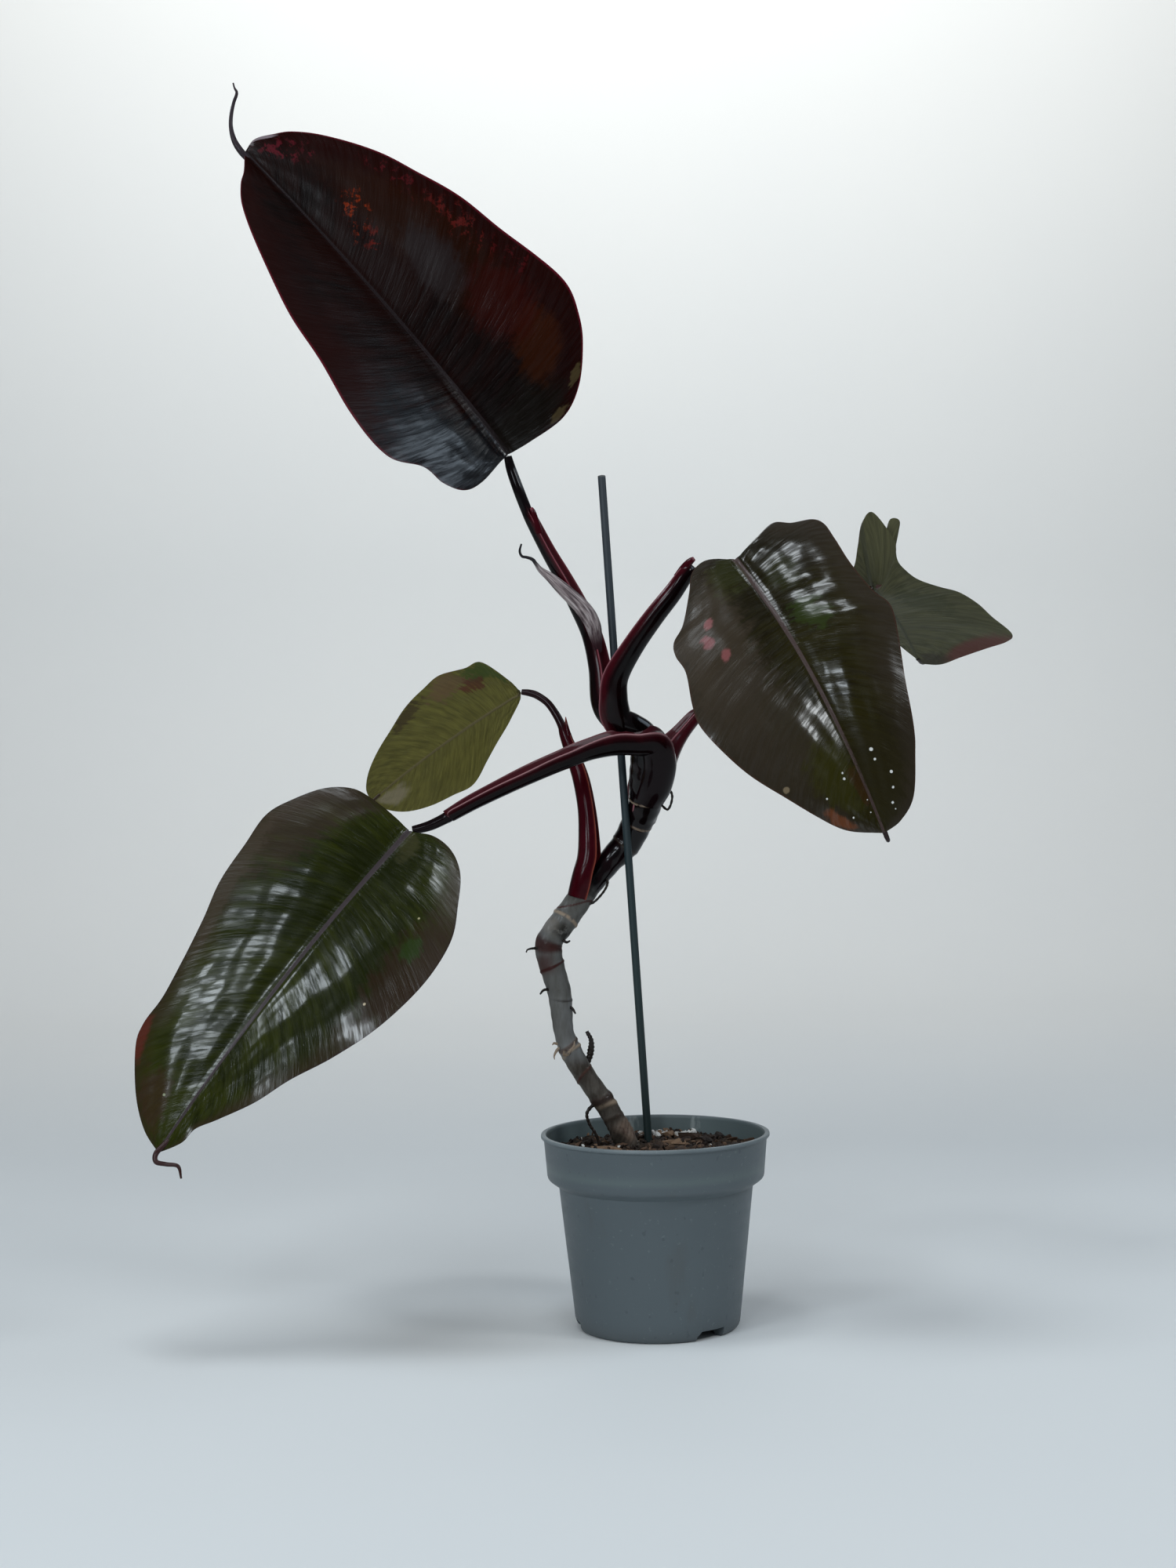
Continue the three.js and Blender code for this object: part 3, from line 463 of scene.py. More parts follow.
# The stem: one climbing stem, woody and grey in its older lower half and smooth, nearly black above.
# Rings mark where old leaves came off, and short aerial roots grow out beside them.

STEM = np.array([
    (0, 13, 72, 6), (-7, 12, 86, 6.2), (-13.6, 12, 97, 6.6), (-21, 12, 112, 6), (-28, 12, 124.5, 6.1),
    (-36.6, 12, 137, 5.9), (-43.4, 12, 148, 6.1), (-48.2, 12, 157, 6.2), (-51, 12, 166, 5.7),
    (-52.2, 13, 178, 6.3), (-53.6, 14, 190, 6.8), (-56.4, 15, 200, 7), (-58.7, 16, 209, 7.5),
    (-59, 17, 216, 7.6), (-56.3, 18, 222, 7.5), (-51.3, 20, 228.4, 7.7), (-46.6, 21, 234.5, 7.5),
    (-42, 22, 240.5, 7.4), (-37.2, 24, 247.2, 7.2), (-30.2, 27, 255, 6.9), (-22.4, 30, 263.8, 7.3),
    (-13.2, 31, 273.5, 8.5), (-6.2, 28, 287, 9.1), (-1.6, 20.5, 299, 9.9), (-1, 13, 311, 10.4),
    (-0.6, 8, 322, 10), (-2.4, 5, 334, 8.6), (-9.5, 3, 340.5, 8.2), (-16.5, 2.4, 344, 7.2),
])
# Scars and node rings, and one painted shadow: the height of their middle on the stem's line, how far
# they rise to its right, half their width, how proud they are, how dark, tan and red they are, and the
# side they are on (-1 left, 0 all round, 1 right). The flat dark row at 246.5 is no scar: it is a
# painted shadow line below the edge of the small left petiole's sheath.
SCARS_AND_SHADE = [
    (300, 2, 0.7, 0.4, 0, 0.7, 0.2, 0), (285, 0, 0.6, 0.3, 0, 0.6, 0.3, 0),
    (272, 0, 0.8, 0.3, 0.4, 0.1, 0, 0), (246.5, 0, 1.4, 0, 0.6, 0, 0, 0),
    (238.5, 11, 0.6, 0.15, 0, 0, 0.9, 0), (231.4, 0, 0.9, 0.5, 0, 0.9, 0.1, 0),
    (224.5, 0, 3.6, 0.1, 0.95, 0, 0, 1), (224, 0, 3.5, 0, 0, 0.2, 0, -1),
    (214.8, -2, 3.4, 0.3, 0.35, 0, 0.9, 0), (205, 0, 5.5, 0, 0, 0, 0.7, -1),
    (203.3, 3, 0.8, 0.4, 0.2, 0, 0.9, 0), (184.5, -2, 0.6, 0.3, 0.6, 0, 0.3, 0.6),
    (158.5, 3, 1.2, 0.5, 0.3, 0.2, 0.6, 0), (155.5, 3, 1.0, 0.6, 0, 0.95, 0, 0.3),
    (142.4, 4, 0.7, 0.35, 0.2, 0.1, 0.8, 0), (127.5, -2, 1.8, 0.5, 0.7, 0, 0.5, 0),
    (124.4, -2, 1.2, 0.5, 0, 0.8, 0.1, 0.5), (117, 0, 1.0, 0.3, 0.6, 0.1, 0.2, 0),
    (108, 0, 6, 0.3, 0, 0.3, 0.5, 0.6), (105, 0, 4, 0.3, 0.9, 0, 0, -1),
]
# Grey wood gives way to dark skin within WOODY_FADE above WOODY_TO. Below KNOTTY_TO the bark is knotty.
WOODY_TO, WOODY_FADE, KNOTTY_TO = 243, 7, 119
stem_u = np.linspace(0, 1, 520)
stem_line = smooth_path(STEM, stem_u)
SIDES = 44
stem_angle = 2 * np.pi * np.arange(SIDES) / SIDES
rise = stem_line[:, 2][:, None]
proud = np.zeros((len(stem_u), SIDES))
scar_and_shade_marks = {mark: np.zeros_like(proud) for mark in ("scar_dark_and_shade", "scar_tan", "scar_red")}
for z, lean, width, height, dark, tan, red, place in SCARS_AND_SHADE:
    off = rise - z - lean * np.cos(stem_angle)[None] * 0.5 - 0.5 * np.sin(2 * stem_angle + z)[None]
    band = np.exp(-((off / width) ** 4))
    if place:
        band = band * np.clip(0.75 + 1.3 * place * np.cos(stem_angle), 0, 1)[None]
    proud += height * band
    for mark, strength in zip(scar_and_shade_marks, (dark, tan, red)):
        scar_and_shade_marks[mark] += strength * band
woody = 1 - np.clip((rise - WOODY_TO) / WOODY_FADE, 0, 1) + 0 * proud
knotty = np.clip((KNOTTY_TO - rise) / 8, 0, 1)
proud += 0.16 * woody * np.sin(5 * stem_angle + 0.05 * rise) * np.sin(0.21 * rise)
proud += 0.1 * np.sin(0.9 * rise + 2 * np.sin(stem_angle))
proud += 0.55 * knotty * np.sin(7 * stem_angle + 0.9 * rise) * np.sin(1.3 * rise + 3 * stem_angle)
section = round_section(len(stem_u), SIDES) * (1 + proud / stem_line[:, 3:4])[..., None]
stem_points, stem_faces = swept(stem_line[:, :3], stem_line[:, 3], section, (0, -1, 0))


def capped(values, filler=0.0):
    """A value for each ring point, with two more for the ends."""
    return np.concatenate([values.ravel(), [filler, filler]])


stem_marks = {"woody": capped(woody, 1), "root": capped(0 * proud),
              **{mark: capped(np.clip(values, 0, 1)) for mark, values in scar_and_shade_marks.items()}}
AERIAL_ROOTS = [
    [(3, 16, 303, 0.9), (9.5, 13, 306, 0.8), (13.2, 13.5, 300.8, 0.7), (10.6, 16, 293, 0.7),
     (5, 20, 298, 0.8)],
    [(-27, 27, 256, 0.9), (-24.6, 22.5, 251.5, 0.8), (-27, 20, 246, 0.7), (-33, 18.5, 240, 0.7),
     (-38, 21, 239, 0.8)],
    [(-42, 12.5, 142, 2), (-37.6, 13.5, 149, 1.7), (-35.9, 14, 155, 2), (-35.6, 15, 161, 1.4),
     (-38, 15.5, 166, 1.1)],
    [(-32, 11.5, 127, 1.2), (-38.4, 9, 120.5, 1), (-37.4, 8.5, 114, 0.9), (-33.4, 8, 107, 0.9),
     (-29, 8, 93, 0.9)],
    [(-60, 15, 214, 1), (-67, 12.6, 214.6, 0.8), (-71, 11.6, 214, 0.5), (-72, 11.2, 212.4, 0.4)],
    [(-55, 14, 190, 1), (-61.6, 9.6, 191, 0.8), (-64.4, 8.4, 188.6, 0.5)],
    [(-54, 14, 181, 1), (-47, 10, 180.6, 0.9), (-44.2, 9, 177, 0.5)],
    [(-54, 18, 222, 1), (-49.4, 12.4, 218, 0.8), (-46.8, 11, 218.6, 0.5)],
]


def joined(parts):
    """Several meshes with the same marks as one."""
    points, faces, marks = [], [], {name: [] for name in parts[0][2]}
    total = 0
    for part_points, part_faces, part_marks in parts:
        points.append(part_points)
        faces += [[v + total for v in face] for face in part_faces]
        total += len(part_points)
        for name in marks:
            marks[name].append(part_marks[name])
    return np.vstack(points), faces, {name: np.concatenate(values) for name, values in marks.items()}


# Scraps of dried leaf base, cream and curled, still hanging on a ring.
FLAKES = [
    [(-54, 7.6, 157.6, 0.9), (-55.6, 6, 156, 0.8), (-56.8, 5.4, 153.4, 0.5), (-56.6, 5.4, 151.4, 0.2)],
    [(-55, 8, 160, 0.7), (-56.8, 6.6, 160.6, 0.6), (-57.8, 6, 159.6, 0.2)],
    [(-47.6, 6, 156.4, 0.9), (-45.6, 6.4, 158.8, 0.8), (-45, 7, 161.4, 0.3)],
    [(-51.6, 5.4, 155, 1.5), (-49.4, 5, 154.6, 1.3), (-47.6, 5.2, 156, 0.6)],
]
stem_parts = [(stem_points, stem_faces, stem_marks)]
for strand_line, is_root in [(line, 1) for line in AERIAL_ROOTS] + [(line, 0) for line in FLAKES]:
    root_line = smooth_path(strand_line, np.linspace(0, 1, 60))
    knobs = root_line[:, 3] * (1 + 0.12 * np.sin(np.arange(60) * 1.3))
    root_points, root_faces = swept(root_line[:, :3], knobs, round_section(60, 12), (0.3, -0.9, 0.2))
    amounts = {"woody": 1 - is_root, "root": is_root, "scar_dark_and_shade": 0, "scar_tan": 1 - is_root, "scar_red": 0}
    root_marks = {mark: np.full(len(root_points), float(amount)) for mark, amount in amounts.items()}
    stem_parts.append((root_points, root_faces, root_marks))

rind = Paint("stem rind", Specular_IOR_Level=0.1, Coat_Roughness=0.12)
bark_grain = rind.noise(150, 5, 0.6, rind.stretched((1, 1, 0.3)))
flecks = rind.noise(90, 4, 0.65)
broad = rind.noise(40, 3, 0.5, rind.stretched((1, 1, 0.4)))
woody_part = rind.mark("woody")
grey_wood = rind.ramp(
    bark_grain * 0.35 + broad * 0.65, (0.34, (0.085, 0.078, 0.068)), (0.46, (0.15, 0.147, 0.138)),
    (0.56, (0.22, 0.222, 0.222)), (0.68, (0.13, 0.118, 0.1)))
old_wood = rind.mix(rind.step(bark_grain, 0.35, 0.62), (0.045, 0.035, 0.027), (0.1, 0.088, 0.074))
grey_wood = rind.mix(1 - rind.step(rind.height(), 0.146, 0.158), grey_wood, old_wood)
dark_skin = rind.mix(rind.step(flecks, 0.45, 0.7), (0.0025, 0.001, 0.0014), (0.008, 0.0018, 0.0028))
tan_patches = rind.mark("scar_tan") * rind.step(rind.noise(240, 3), 0.3, 0.5)
# Dark scar patches, and a painted shadow line below the small left petiole's sheath, laid on in near black.
dark_patches_and_shade = rind.mark("scar_dark_and_shade") * rind.step(flecks + 0.4 * (bark_grain - 0.5), 0.36, 0.48)
stem_tone = rind.layers(
    rind.mix(woody_part, dark_skin, grey_wood),
    (rind.mark("scar_red") * 0.95, (0.055, 0.009, 0.007)),
    (tan_patches * 0.85, (0.4, 0.3, 0.21)),
    (dark_patches_and_shade * 0.93, (0.012, 0.01, 0.007)),
    (rind.mark("root") * 0.92, (0.022, 0.016, 0.013)))
rind.feeds(Base_Color=stem_tone, Roughness=0.14 + 0.42 * woody_part + 0.08 * flecks,
           Coat_Weight=0.18 * (1 - woody_part) + 0.1,
           Normal=rind.bump(bark_grain, 0.0005, 0.15 + 0.4 * woody_part))
stem_points, stem_faces, stem_marks = joined(stem_parts)
mesh_piece("climbing_stem", stem_points, stem_faces, rind, ["stem"], stem_marks, 60)


# The petioles: fleshy dark red stalks. The lower part of each is a clasping sheath, a channel between
# two thin wings with pink margins; past the wings' tips the stalk is round and bare.

PETIOLES = {
    "small_left": ((0.9, -0.1, 0.4), [
        (-41.4, 20.5, 243, 6.8, 1), (-38, 20.5, 255, 7.2, 1), (-35, 22, 265, 7.2, 1),
        (-34.6, 25, 277, 6.6, 1), (-35.7, 28.5, 294.3, 5.7, 1), (-38.9, 32, 312, 5.3, 1),
        (-44, 35, 327, 4.5, 1), (-47.8, 37.4, 337.4, 3.6, 0.8), (-49.8, 38.6, 342.6, 2.6, 0.1),
        (-53.3, 41, 349.4, 2.3, 0), (-57.9, 44, 355.9, 2.2, 0), (-63.8, 47, 360.3, 2.2, 0),
        (-68.3, 48.2, 362, 2.1, 0), (-73, 49.3, 362.7, 1.7, 0)]),
    "lower_left": ((0.6, -0.1, 0.8), [
        (0, 14, 300, 9, 0), (3.6, 7, 308, 9.6, 0), (6, 0.5, 320, 9.6, 0), (3.6, -4, 331.6, 10, 0.5),
        (-8, -7, 332, 8, 1), (-20.5, -8.5, 331.8, 7.6, 1), (-34.6, -10, 328.2, 6.4, 1),
        (-47.8, -12, 323.2, 6, 1), (-61.5, -14, 317.6, 5.7, 1), (-79, -17, 309.8, 5.2, 1),
        (-97, -19, 301.2, 4.7, 1), (-106.5, -19.8, 296.2, 4.4, 1), (-112.5, -20, 292.8, 4.1, 0.8),
        (-115, -20.1, 291, 3.2, 0), (-124, -20.4, 286.9, 2.9, 0), (-133.4, -20.2, 284.5, 2.4, 0)]),
    "back_right": ((-0.5, -0.45, 0.75), [
        (-4.5, 29.5, 287, 8.6, 1), (-1.6, 22.5, 303, 11.6, 1), (4.2, 20, 316, 10.8, 1),
        (11.4, 25, 327.4, 7.8, 1), (19.3, 31.5, 336.9, 5.3, 1), (28, 38, 346.5, 4.3, 0.9),
        (33, 41.5, 350.6, 3.4, 0.1), (47, 48.5, 362, 3.1, 0), (70.5, 55, 380, 3, 0),
        (101.5, 60, 401, 2.9, 0), (124, 60.4, 414, 2.7, 0), (135.5, 65.4, 421.2, 1.9, 0)]),
    "right": ((-0.7, 0.15, 0.7), [
        (-15.5, 2, 336, 6.6, 1), (-18.4, 1.5, 346, 8.6, 1), (-19.8, -1, 357, 8.2, 1),
        (-18.4, -3, 369.6, 7.7, 1), (-9, -6.5, 385.6, 6.7, 1), (2.7, -10, 401.6, 6.2, 1),
        (14, -12.6, 415.4, 5.7, 1), (22, -12.6, 426.2, 4.9, 1), (25, -10, 426.6, 3.8, 0.1),
        (32, -7.5, 425.6, 3.2, 0), (41, -10.5, 427.6, 2.9, 0), (47.5, -18.5, 431.1, 2.2, 0)]),
    "top_left": ((0.75, -0.55, 0.35), [
        (-19, 6, 341, 5.4, 1), (-25, 10.2, 354, 7.4, 1), (-27.4, 12.6, 375, 6.4, 1),
        (-31.6, 14, 393.8, 5.8, 1), (-39, 14.5, 410.8, 5.4, 1), (-47.4, 14, 427, 4.8, 1),
        (-56.1, 12.4, 442.6, 4.2, 1), (-64.4, 10.5, 459, 3.8, 0.9), (-67.6, 10, 465.5, 3.3, 0.1),
        (-72.1, 9.2, 477.3, 3.2, 0), (-76, 9.8, 488.8, 2.9, 0), (-77.8, 8.6, 496.1, 2.3, 0)]),
}
# The sheath's section from the middle of the channel round to the back: [degrees, reach in radii].
SHEATH = np.array([
    (0, 0.3), (14, 0.32), (26, 0.4), (34, 0.58), (40, 0.86), (43.5, 1.04), (46, 1.09), (49, 1.08),
    (52.5, 1.03), (60, 1), (72, 1), (90, 1), (112, 1), (135, 1), (158, 1), (180, 1)])
WING_AT, WING_WIDE = 47, 3.4
# How far round from the channel the red reaches (in half turns: full up to the first number, none
# past the second), the margin's colour, the bare stalk's colour, and how strong the gloss is.
PETIOLE_LOOKS = {
    "small_left": (0.62, 1.05, (0.36, 0.08, 0.05), (0.024, 0.008, 0.01), 0.05),
    "lower_left": (0.2, 0.5, (0.5, 0.26, 0.27), (0.006, 0.002, 0.003), 0.12),
    "back_right": (0.6, 0.95, (0.36, 0.14, 0.16), (0.016, 0.005, 0.006), 0.15),
    "right": (0.34, 0.56, (0.34, 0.13, 0.15), (0.006, 0.002, 0.003), 0.15),
    "top_left": (0.3, 0.5, (0.33, 0.08, 0.1), (0.004, 0.0025, 0.003), 0.15),
}
# The free tip of each sheath, where the two wings meet in front of the stalk: [x, y, z, radius].
SHEATH_TIPS = {
    "small_left": [(-43, 34, 327, 2.2), (-45.4, 35, 335, 1.9), (-46.8, 35.6, 341, 1.3),
                   (-47.4, 36, 347.4, 0.25)],
    "right": [(17, -14.5, 424, 2.4), (21, -14, 429.4, 2.3), (24.4, -13.4, 432.8, 2),
              (26.6, -13, 434.4, 1.3)],
    "top_left": [(-60.4, 8.4, 452, 2), (-62.4, 8, 459, 1.9), (-63.8, 7.6, 464, 1.6),
                 (-64.8, 7.4, 466.6, 0.9)],
}
half_angles = np.concatenate([SHEATH[:, 0], -SHEATH[-2:0:-1, 0]])
reaches = np.concatenate([SHEATH[:, 1], SHEATH[-2:0:-1, 1]])
turn_to = np.pi / 2 + np.radians(half_angles)
TIP_ROWS, TIP_SIDES = 40, 14
for name, (opening, stations) in PETIOLES.items():
    steps = np.linspace(0, 1, 16 * (len(stations) - 1) + 1)
    line = smooth_path(stations, steps)
    sheath = np.clip(line[:, 4], 0, 1)
    grown = 1 + (reaches - 1)[None] * sheath[:, None]
    ring = np.stack([np.cos(turn_to)[None] * grown, np.sin(turn_to)[None] * grown], -1)
    points, faces = swept(line[:, :3], line[:, 3], ring, opening)
    on_margin = np.exp(-(((np.abs(half_angles) - WING_AT) / WING_WIDE) ** 2))
    in_channel = np.clip((WING_AT - np.abs(half_angles)) / 8, 0, 1)
    from_channel = np.repeat(np.abs(half_angles)[None] / 180, len(steps), 0)
    marks = {"margin": capped(on_margin * sheath[:, None]), "channel": capped(in_channel * sheath[:, None]),
             "around": capped(from_channel, 1), "winged": capped(np.repeat(sheath, len(half_angles)))}
    if name in SHEATH_TIPS:
        tip_u = np.linspace(0, 1, TIP_ROWS)
        tip_line = smooth_path(SHEATH_TIPS[name], tip_u)
        tip_section = round_section(TIP_ROWS, TIP_SIDES)
        tip_points, tip_faces = swept(tip_line[:, :3], tip_line[:, 3], tip_section, opening)
        tip_far = np.append(np.repeat(tip_u, TIP_SIDES), [0, 1])
        tip_marks = {"margin": np.clip((tip_far - 0.75) * 3, 0, 0.8), "channel": 0 * tip_far,
                     "around": 0 * tip_far + 0.3, "winged": 0 * tip_far + 1}
        points, faces, marks = joined([(points, faces, marks), (tip_points, tip_faces, tip_marks)])
    red_to, red_end, margin_colour, stalk_colour, shine = PETIOLE_LOOKS[name]
    skin = Paint("petiole skin " + name, Specular_IOR_Level=0.08, Coat_Weight=shine, Coat_Roughness=0.05)
    streaks = skin.noise(260, 3, 0.5)
    mottle = skin.noise(70, 3, 0.5)
    outside = skin.mix(skin.step(mottle, 0.4, 0.7), (0.002, 0.0006, 0.0008), (0.006, 0.0012, 0.0018))
    red = skin.mix(streaks, (0.032, 0.0012, 0.0035), (0.068, 0.003, 0.008))
    reddened = 1 - skin.step(skin.mark("around") + 0.25 * (mottle - 0.5), red_to, red_end)
    bare = skin.mix(streaks * 0.5, stalk_colour, (0.004, 0.002, 0.0025))
    channel = skin.mark("channel")
    tone = skin.layers(
        bare, (skin.mark("winged"), skin.mix(reddened * 0.8, outside, red)), (channel * 0.85, red),
        (skin.mark("margin") * 0.85, margin_colour))
    skin.feeds(Base_Color=tone, Roughness=0.13 + 0.1 * streaks + 0.3 * channel,
               Normal=skin.bump(streaks, 0.0002, 0.2))
    mesh_piece("petiole_of_" + name, points, faces, skin, ["petiole_" + name], marks, 70)


# The leaves: thick, waxy, heart-shaped blades, each with a strong midrib below, straight side veins
# that bend forward to the margin, and a drawn-out tip that has dried to a thread.

LEAVES = {
    "top_left": dict(
        base=(-78, 8, 497), tip=(-223, -4, 668), facing=(0.38, -0.89, 0.26),
        fold_left=(27, 20), fold_right=(27, 15), arch=6, belly=3,
        left=[(-1, 10), (-4, 34), (-2, 50.5), (8, 61), (21, 64.5, -1), (37, 82), (68, 82, 1), (103, 71.5),
              (133, 63.5), (169, 48.5), (196, 33), (208, 22.5, 2), (214, 13.5, 3)],
        right=[(-3, 14), (-5, 34, 1), (3, 51), (19, 66), (33, 74), (51, 79.5), (75.5, 78), (102.5, 73.2),
               (128.5, 69), (151.5, 63), (176, 55), (203, 39.4), (216.5, 27.6, 1), (222, 18, 2.5),
               (226.5, 8, 2.5)],
        tail=[(214, 0.5, -0.6, 1.2), (221, 1.2, 0, 1.9), (227.5, 1.4, 0.4, 2), (234, -0.3, 0, 1.7),
              (240.5, -3.8, 0.7, 1.3), (245.8, -8.5, 2.2, 1.15), (250, -13.7, 4, 1),
              (253, -18.3, 5.6, 0.9), (256.3, -19.6, 5.4, 0.6), (258.9, -21, 5.4, 0.5)]),
    "lower_left": dict(
        base=(-135, -22, 283.5), tip=(-269, -75, 115), facing=(-0.18, -0.89, 0.43),
        fold_left=(12, 5), fold_right=(12, 5), arch=10, belly=4,
        left=[(-5, 14), (-3, 30), (6, 45), (21, 57), (39, 68.4), (60, 72), (83, 70.4), (106, 65.2),
              (128, 55), (150, 41.3), (171, 31.6), (189, 19.3), (200, 10.8), (210, 9, 1)],
        right=[(-2, 11), (-3, 26), (-1.5, 40.5), (8, 53.2), (24.5, 62.8), (40, 67.8), (61, 65.6),
               (86, 63.8), (108, 58), (132, 52.4), (154, 49), (172, 49.6), (184.4, 45.7), (204, 30),
               (216.4, 14.4)],
        tail=[(213, 1, 1, 1.8), (222, 0, 2, 1.6), (226, 4, 4, 1.5), (224, 10, 5, 1.3), (221, 16, 4, 1.1),
              (225, 21, 2, 0.6)]),
    "right": dict(
        base=(49, -22, 432), tip=(122, -85, 281), facing=(0.03, -0.92, 0.4),
        fold_left=(5, 5), fold_right=(5, 5), arch=22, belly=5,
        left=[(-2, 4), (-10, 19), (-15, 32), (-9, 40), (-5, 51), (2, 54.5), (15, 53.4), (31, 51.6),
              (45, 52), (59, 54), (71, 57), (92, 51), (115, 43.4), (138, 36.8), (149, 32.4), (168.8, 22.3),
              (177, 11)],
        right=[(-6, 7), (-8, 16), (-2, 26), (12, 35), (31, 48.4), (40, 58.4), (49, 62), (61, 62),
               (79, 67.2), (92, 69.3), (108, 65.8), (125.4, 57.8), (143.8, 44.6), (159.4, 31.8),
               (171.4, 18.6)],
        tail=[(171, 2, 3, 1.7), (179, 1, -1, 1.5), (182, 2, -6, 1.2), (178, 3, -11, 0.7)]),
    "small_left": dict(
        base=(-74.1, 50, 362.5), tip=(-164, 62, 299.6), facing=(-0.28, 0.8, 0.53),
        fold_left=(-10, -5), fold_right=(-10, -5), arch=4, belly=2,
        left=[(0, 12), (4.8, 36.4), (15, 39.4), (29, 46), (42, 43.4), (59, 39), (74, 32), (96, 20.4),
              (107, 10)],
        right=[(3, 4), (15.7, 12.2), (28.5, 18.6), (41.6, 26), (58, 33.4), (71, 32), (85, 28), (99, 21),
               (107, 11)],
        tail=[(104, 0, 1, 1.2), (110, 0, 0, 1.1), (115, 2, -2, 0.9), (118, 4, -4, 0.6)]),
    "back_right": dict(
        base=(136, 66, 421.7), tip=(178.5, 170, 380), facing=(0.04, 0.36, 0.93),
        fold_left=(4, 2), fold_right=(2, 2), arch=6, belly=3,
        left=[(0, -3, 5), (-2, -11, 11), (-8, -17, 22), (-16, -15, 32), (-26, -7, 44), (-26, -1, 36),
              (-20, 3, 24), (-11, 9, 10), (1, 24, 6), (16, 37, 2), (38, 39, -2), (61, 29, -3),
              (80, 17, -2), (94.6, 8.6), (105.2, 4.4), (113, 1.4)],
        right=[(1, 2, 5), (-2, 6, 16), (-8, 12, 36), (-9, 15, 41), (-5, 19, 39), (-0.6, 15.4, 28),
               (7, 14, 18), (17, 17, 13), (29, 22, 10), (44, 31, 9), (59, 40, 10), (74, 48, 8),
               (89, 54, 5), (108, 62, 3), (117, 57, 4), (121, 43, 4), (123, 26, 2), (125.6, 12, 1)],
        tail=[(114, 0, 1, 1.3), (121, -1, 1, 1.2), (126, -2, 3, 1), (126, -3, 6, 0.7)]),
}
BLADE_THICKNESS = 0.9
RIDGE = 2.2
ROWS, COLUMNS, THREAD_SIDES = 170, 26, 10
# The margins stop this share of the way out, so that they stay within the solids' box.
MARGIN_REACH = 0.9992


def leaf_frame(leaf):
    """Where the leaf starts, its along, left and upper directions, and its length."""
    base, tip, upper = (np.array(leaf[k], float) for k in ("base", "tip", "facing"))
    length = np.linalg.norm(tip - base)
    along = (tip - base) / length
    upper -= along * (upper @ along)
    upper /= np.linalg.norm(upper)
    return base, np.stack([along, np.cross(upper, along), upper]), length


def margin_line(leaf, side, length, s):
    """The margin from the sinus to the tip as [x, y, lift], at a share s of its length."""
    outline = leaf["left"] if side > 0 else leaf["right"]
    knots = [(0, 0, 0), *[(*p, 0)[:3] for p in outline], (length, 0, 0)]
    u = np.linspace(0, 1, 3000)
    line = smooth_path(knots, u)
    run = np.concatenate([[0], np.cumsum(np.linalg.norm(np.diff(line, axis=0), axis=1))])
    return smooth_path(knots, np.interp(s, run / run[-1], u))


def half_blade(leaf, side, s, t):
    """Points of one half, in the leaf's frame. A line across leaves the midrib at s to the power 1.6 of
    its length and ends on the margin at s. Its height is the midrib's bow, the rise of the fold, the
    belly between midrib and margin, and the lift of the margin."""
    _, _, length = leaf_frame(leaf)
    edge = margin_line(leaf, side, length, s)[:, None, :]
    start = length * s[:, None] ** 1.6
    x = start + (edge[..., 0] - start) * t
    y = edge[..., 1] * t
    q = x / length
    fold = leaf["fold_left"] if side > 0 else leaf["fold_right"]
    slope = np.tan(np.radians(fold[0] + (fold[1] - fold[0]) * q))
    swelling = leaf["belly"] * 4 * t * (1 - t) * edge[..., 1] / 70
    z = 4 * leaf["arch"] * q * (1 - q) + y * slope + edge[..., 2] * t**2 + swelling
    return np.stack([x, side * y, z], -1)


def blade_grid(leaf, relief):
    """Both halves side by side with their normals. `relief` gives how far a point stands out of the
    upper face, in millimetres, from s, t, side and the distance from the midrib."""
    s = np.linspace(0, 1, ROWS + 1)
    t = (np.arange(COLUMNS + 1) / COLUMNS) ** 1.25 * MARGIN_REACH
    halves = []
    for side in (-1, 1):
        place = half_blade(leaf, side, s, t)
        from_rib = np.abs(place[..., 1])
        place[..., 2] += relief(s[:, None] + 0 * t, t + 0 * s[:, None], side, from_rib)
        halves.append(place)
    place = np.concatenate([halves[0][:, :0:-1], halves[1]], 1)
    share = np.broadcast_to(np.concatenate([-t[:0:-1], t]), place.shape[:2])
    rows_down = np.broadcast_to(s[:, None], place.shape[:2])
    run_s = np.gradient(place, axis=0)
    run_t = np.gradient(place, axis=1)
    run_s[0], run_s[-1] = run_s[1], run_s[-2]
    normal = np.cross(run_s, run_t)
    size = np.linalg.norm(normal, axis=-1, keepdims=True)
    normal = normal / np.maximum(size, 1e-9)
    normal[0], normal[-1] = normal[2], normal[-3]
    return place, normal, rows_down, share


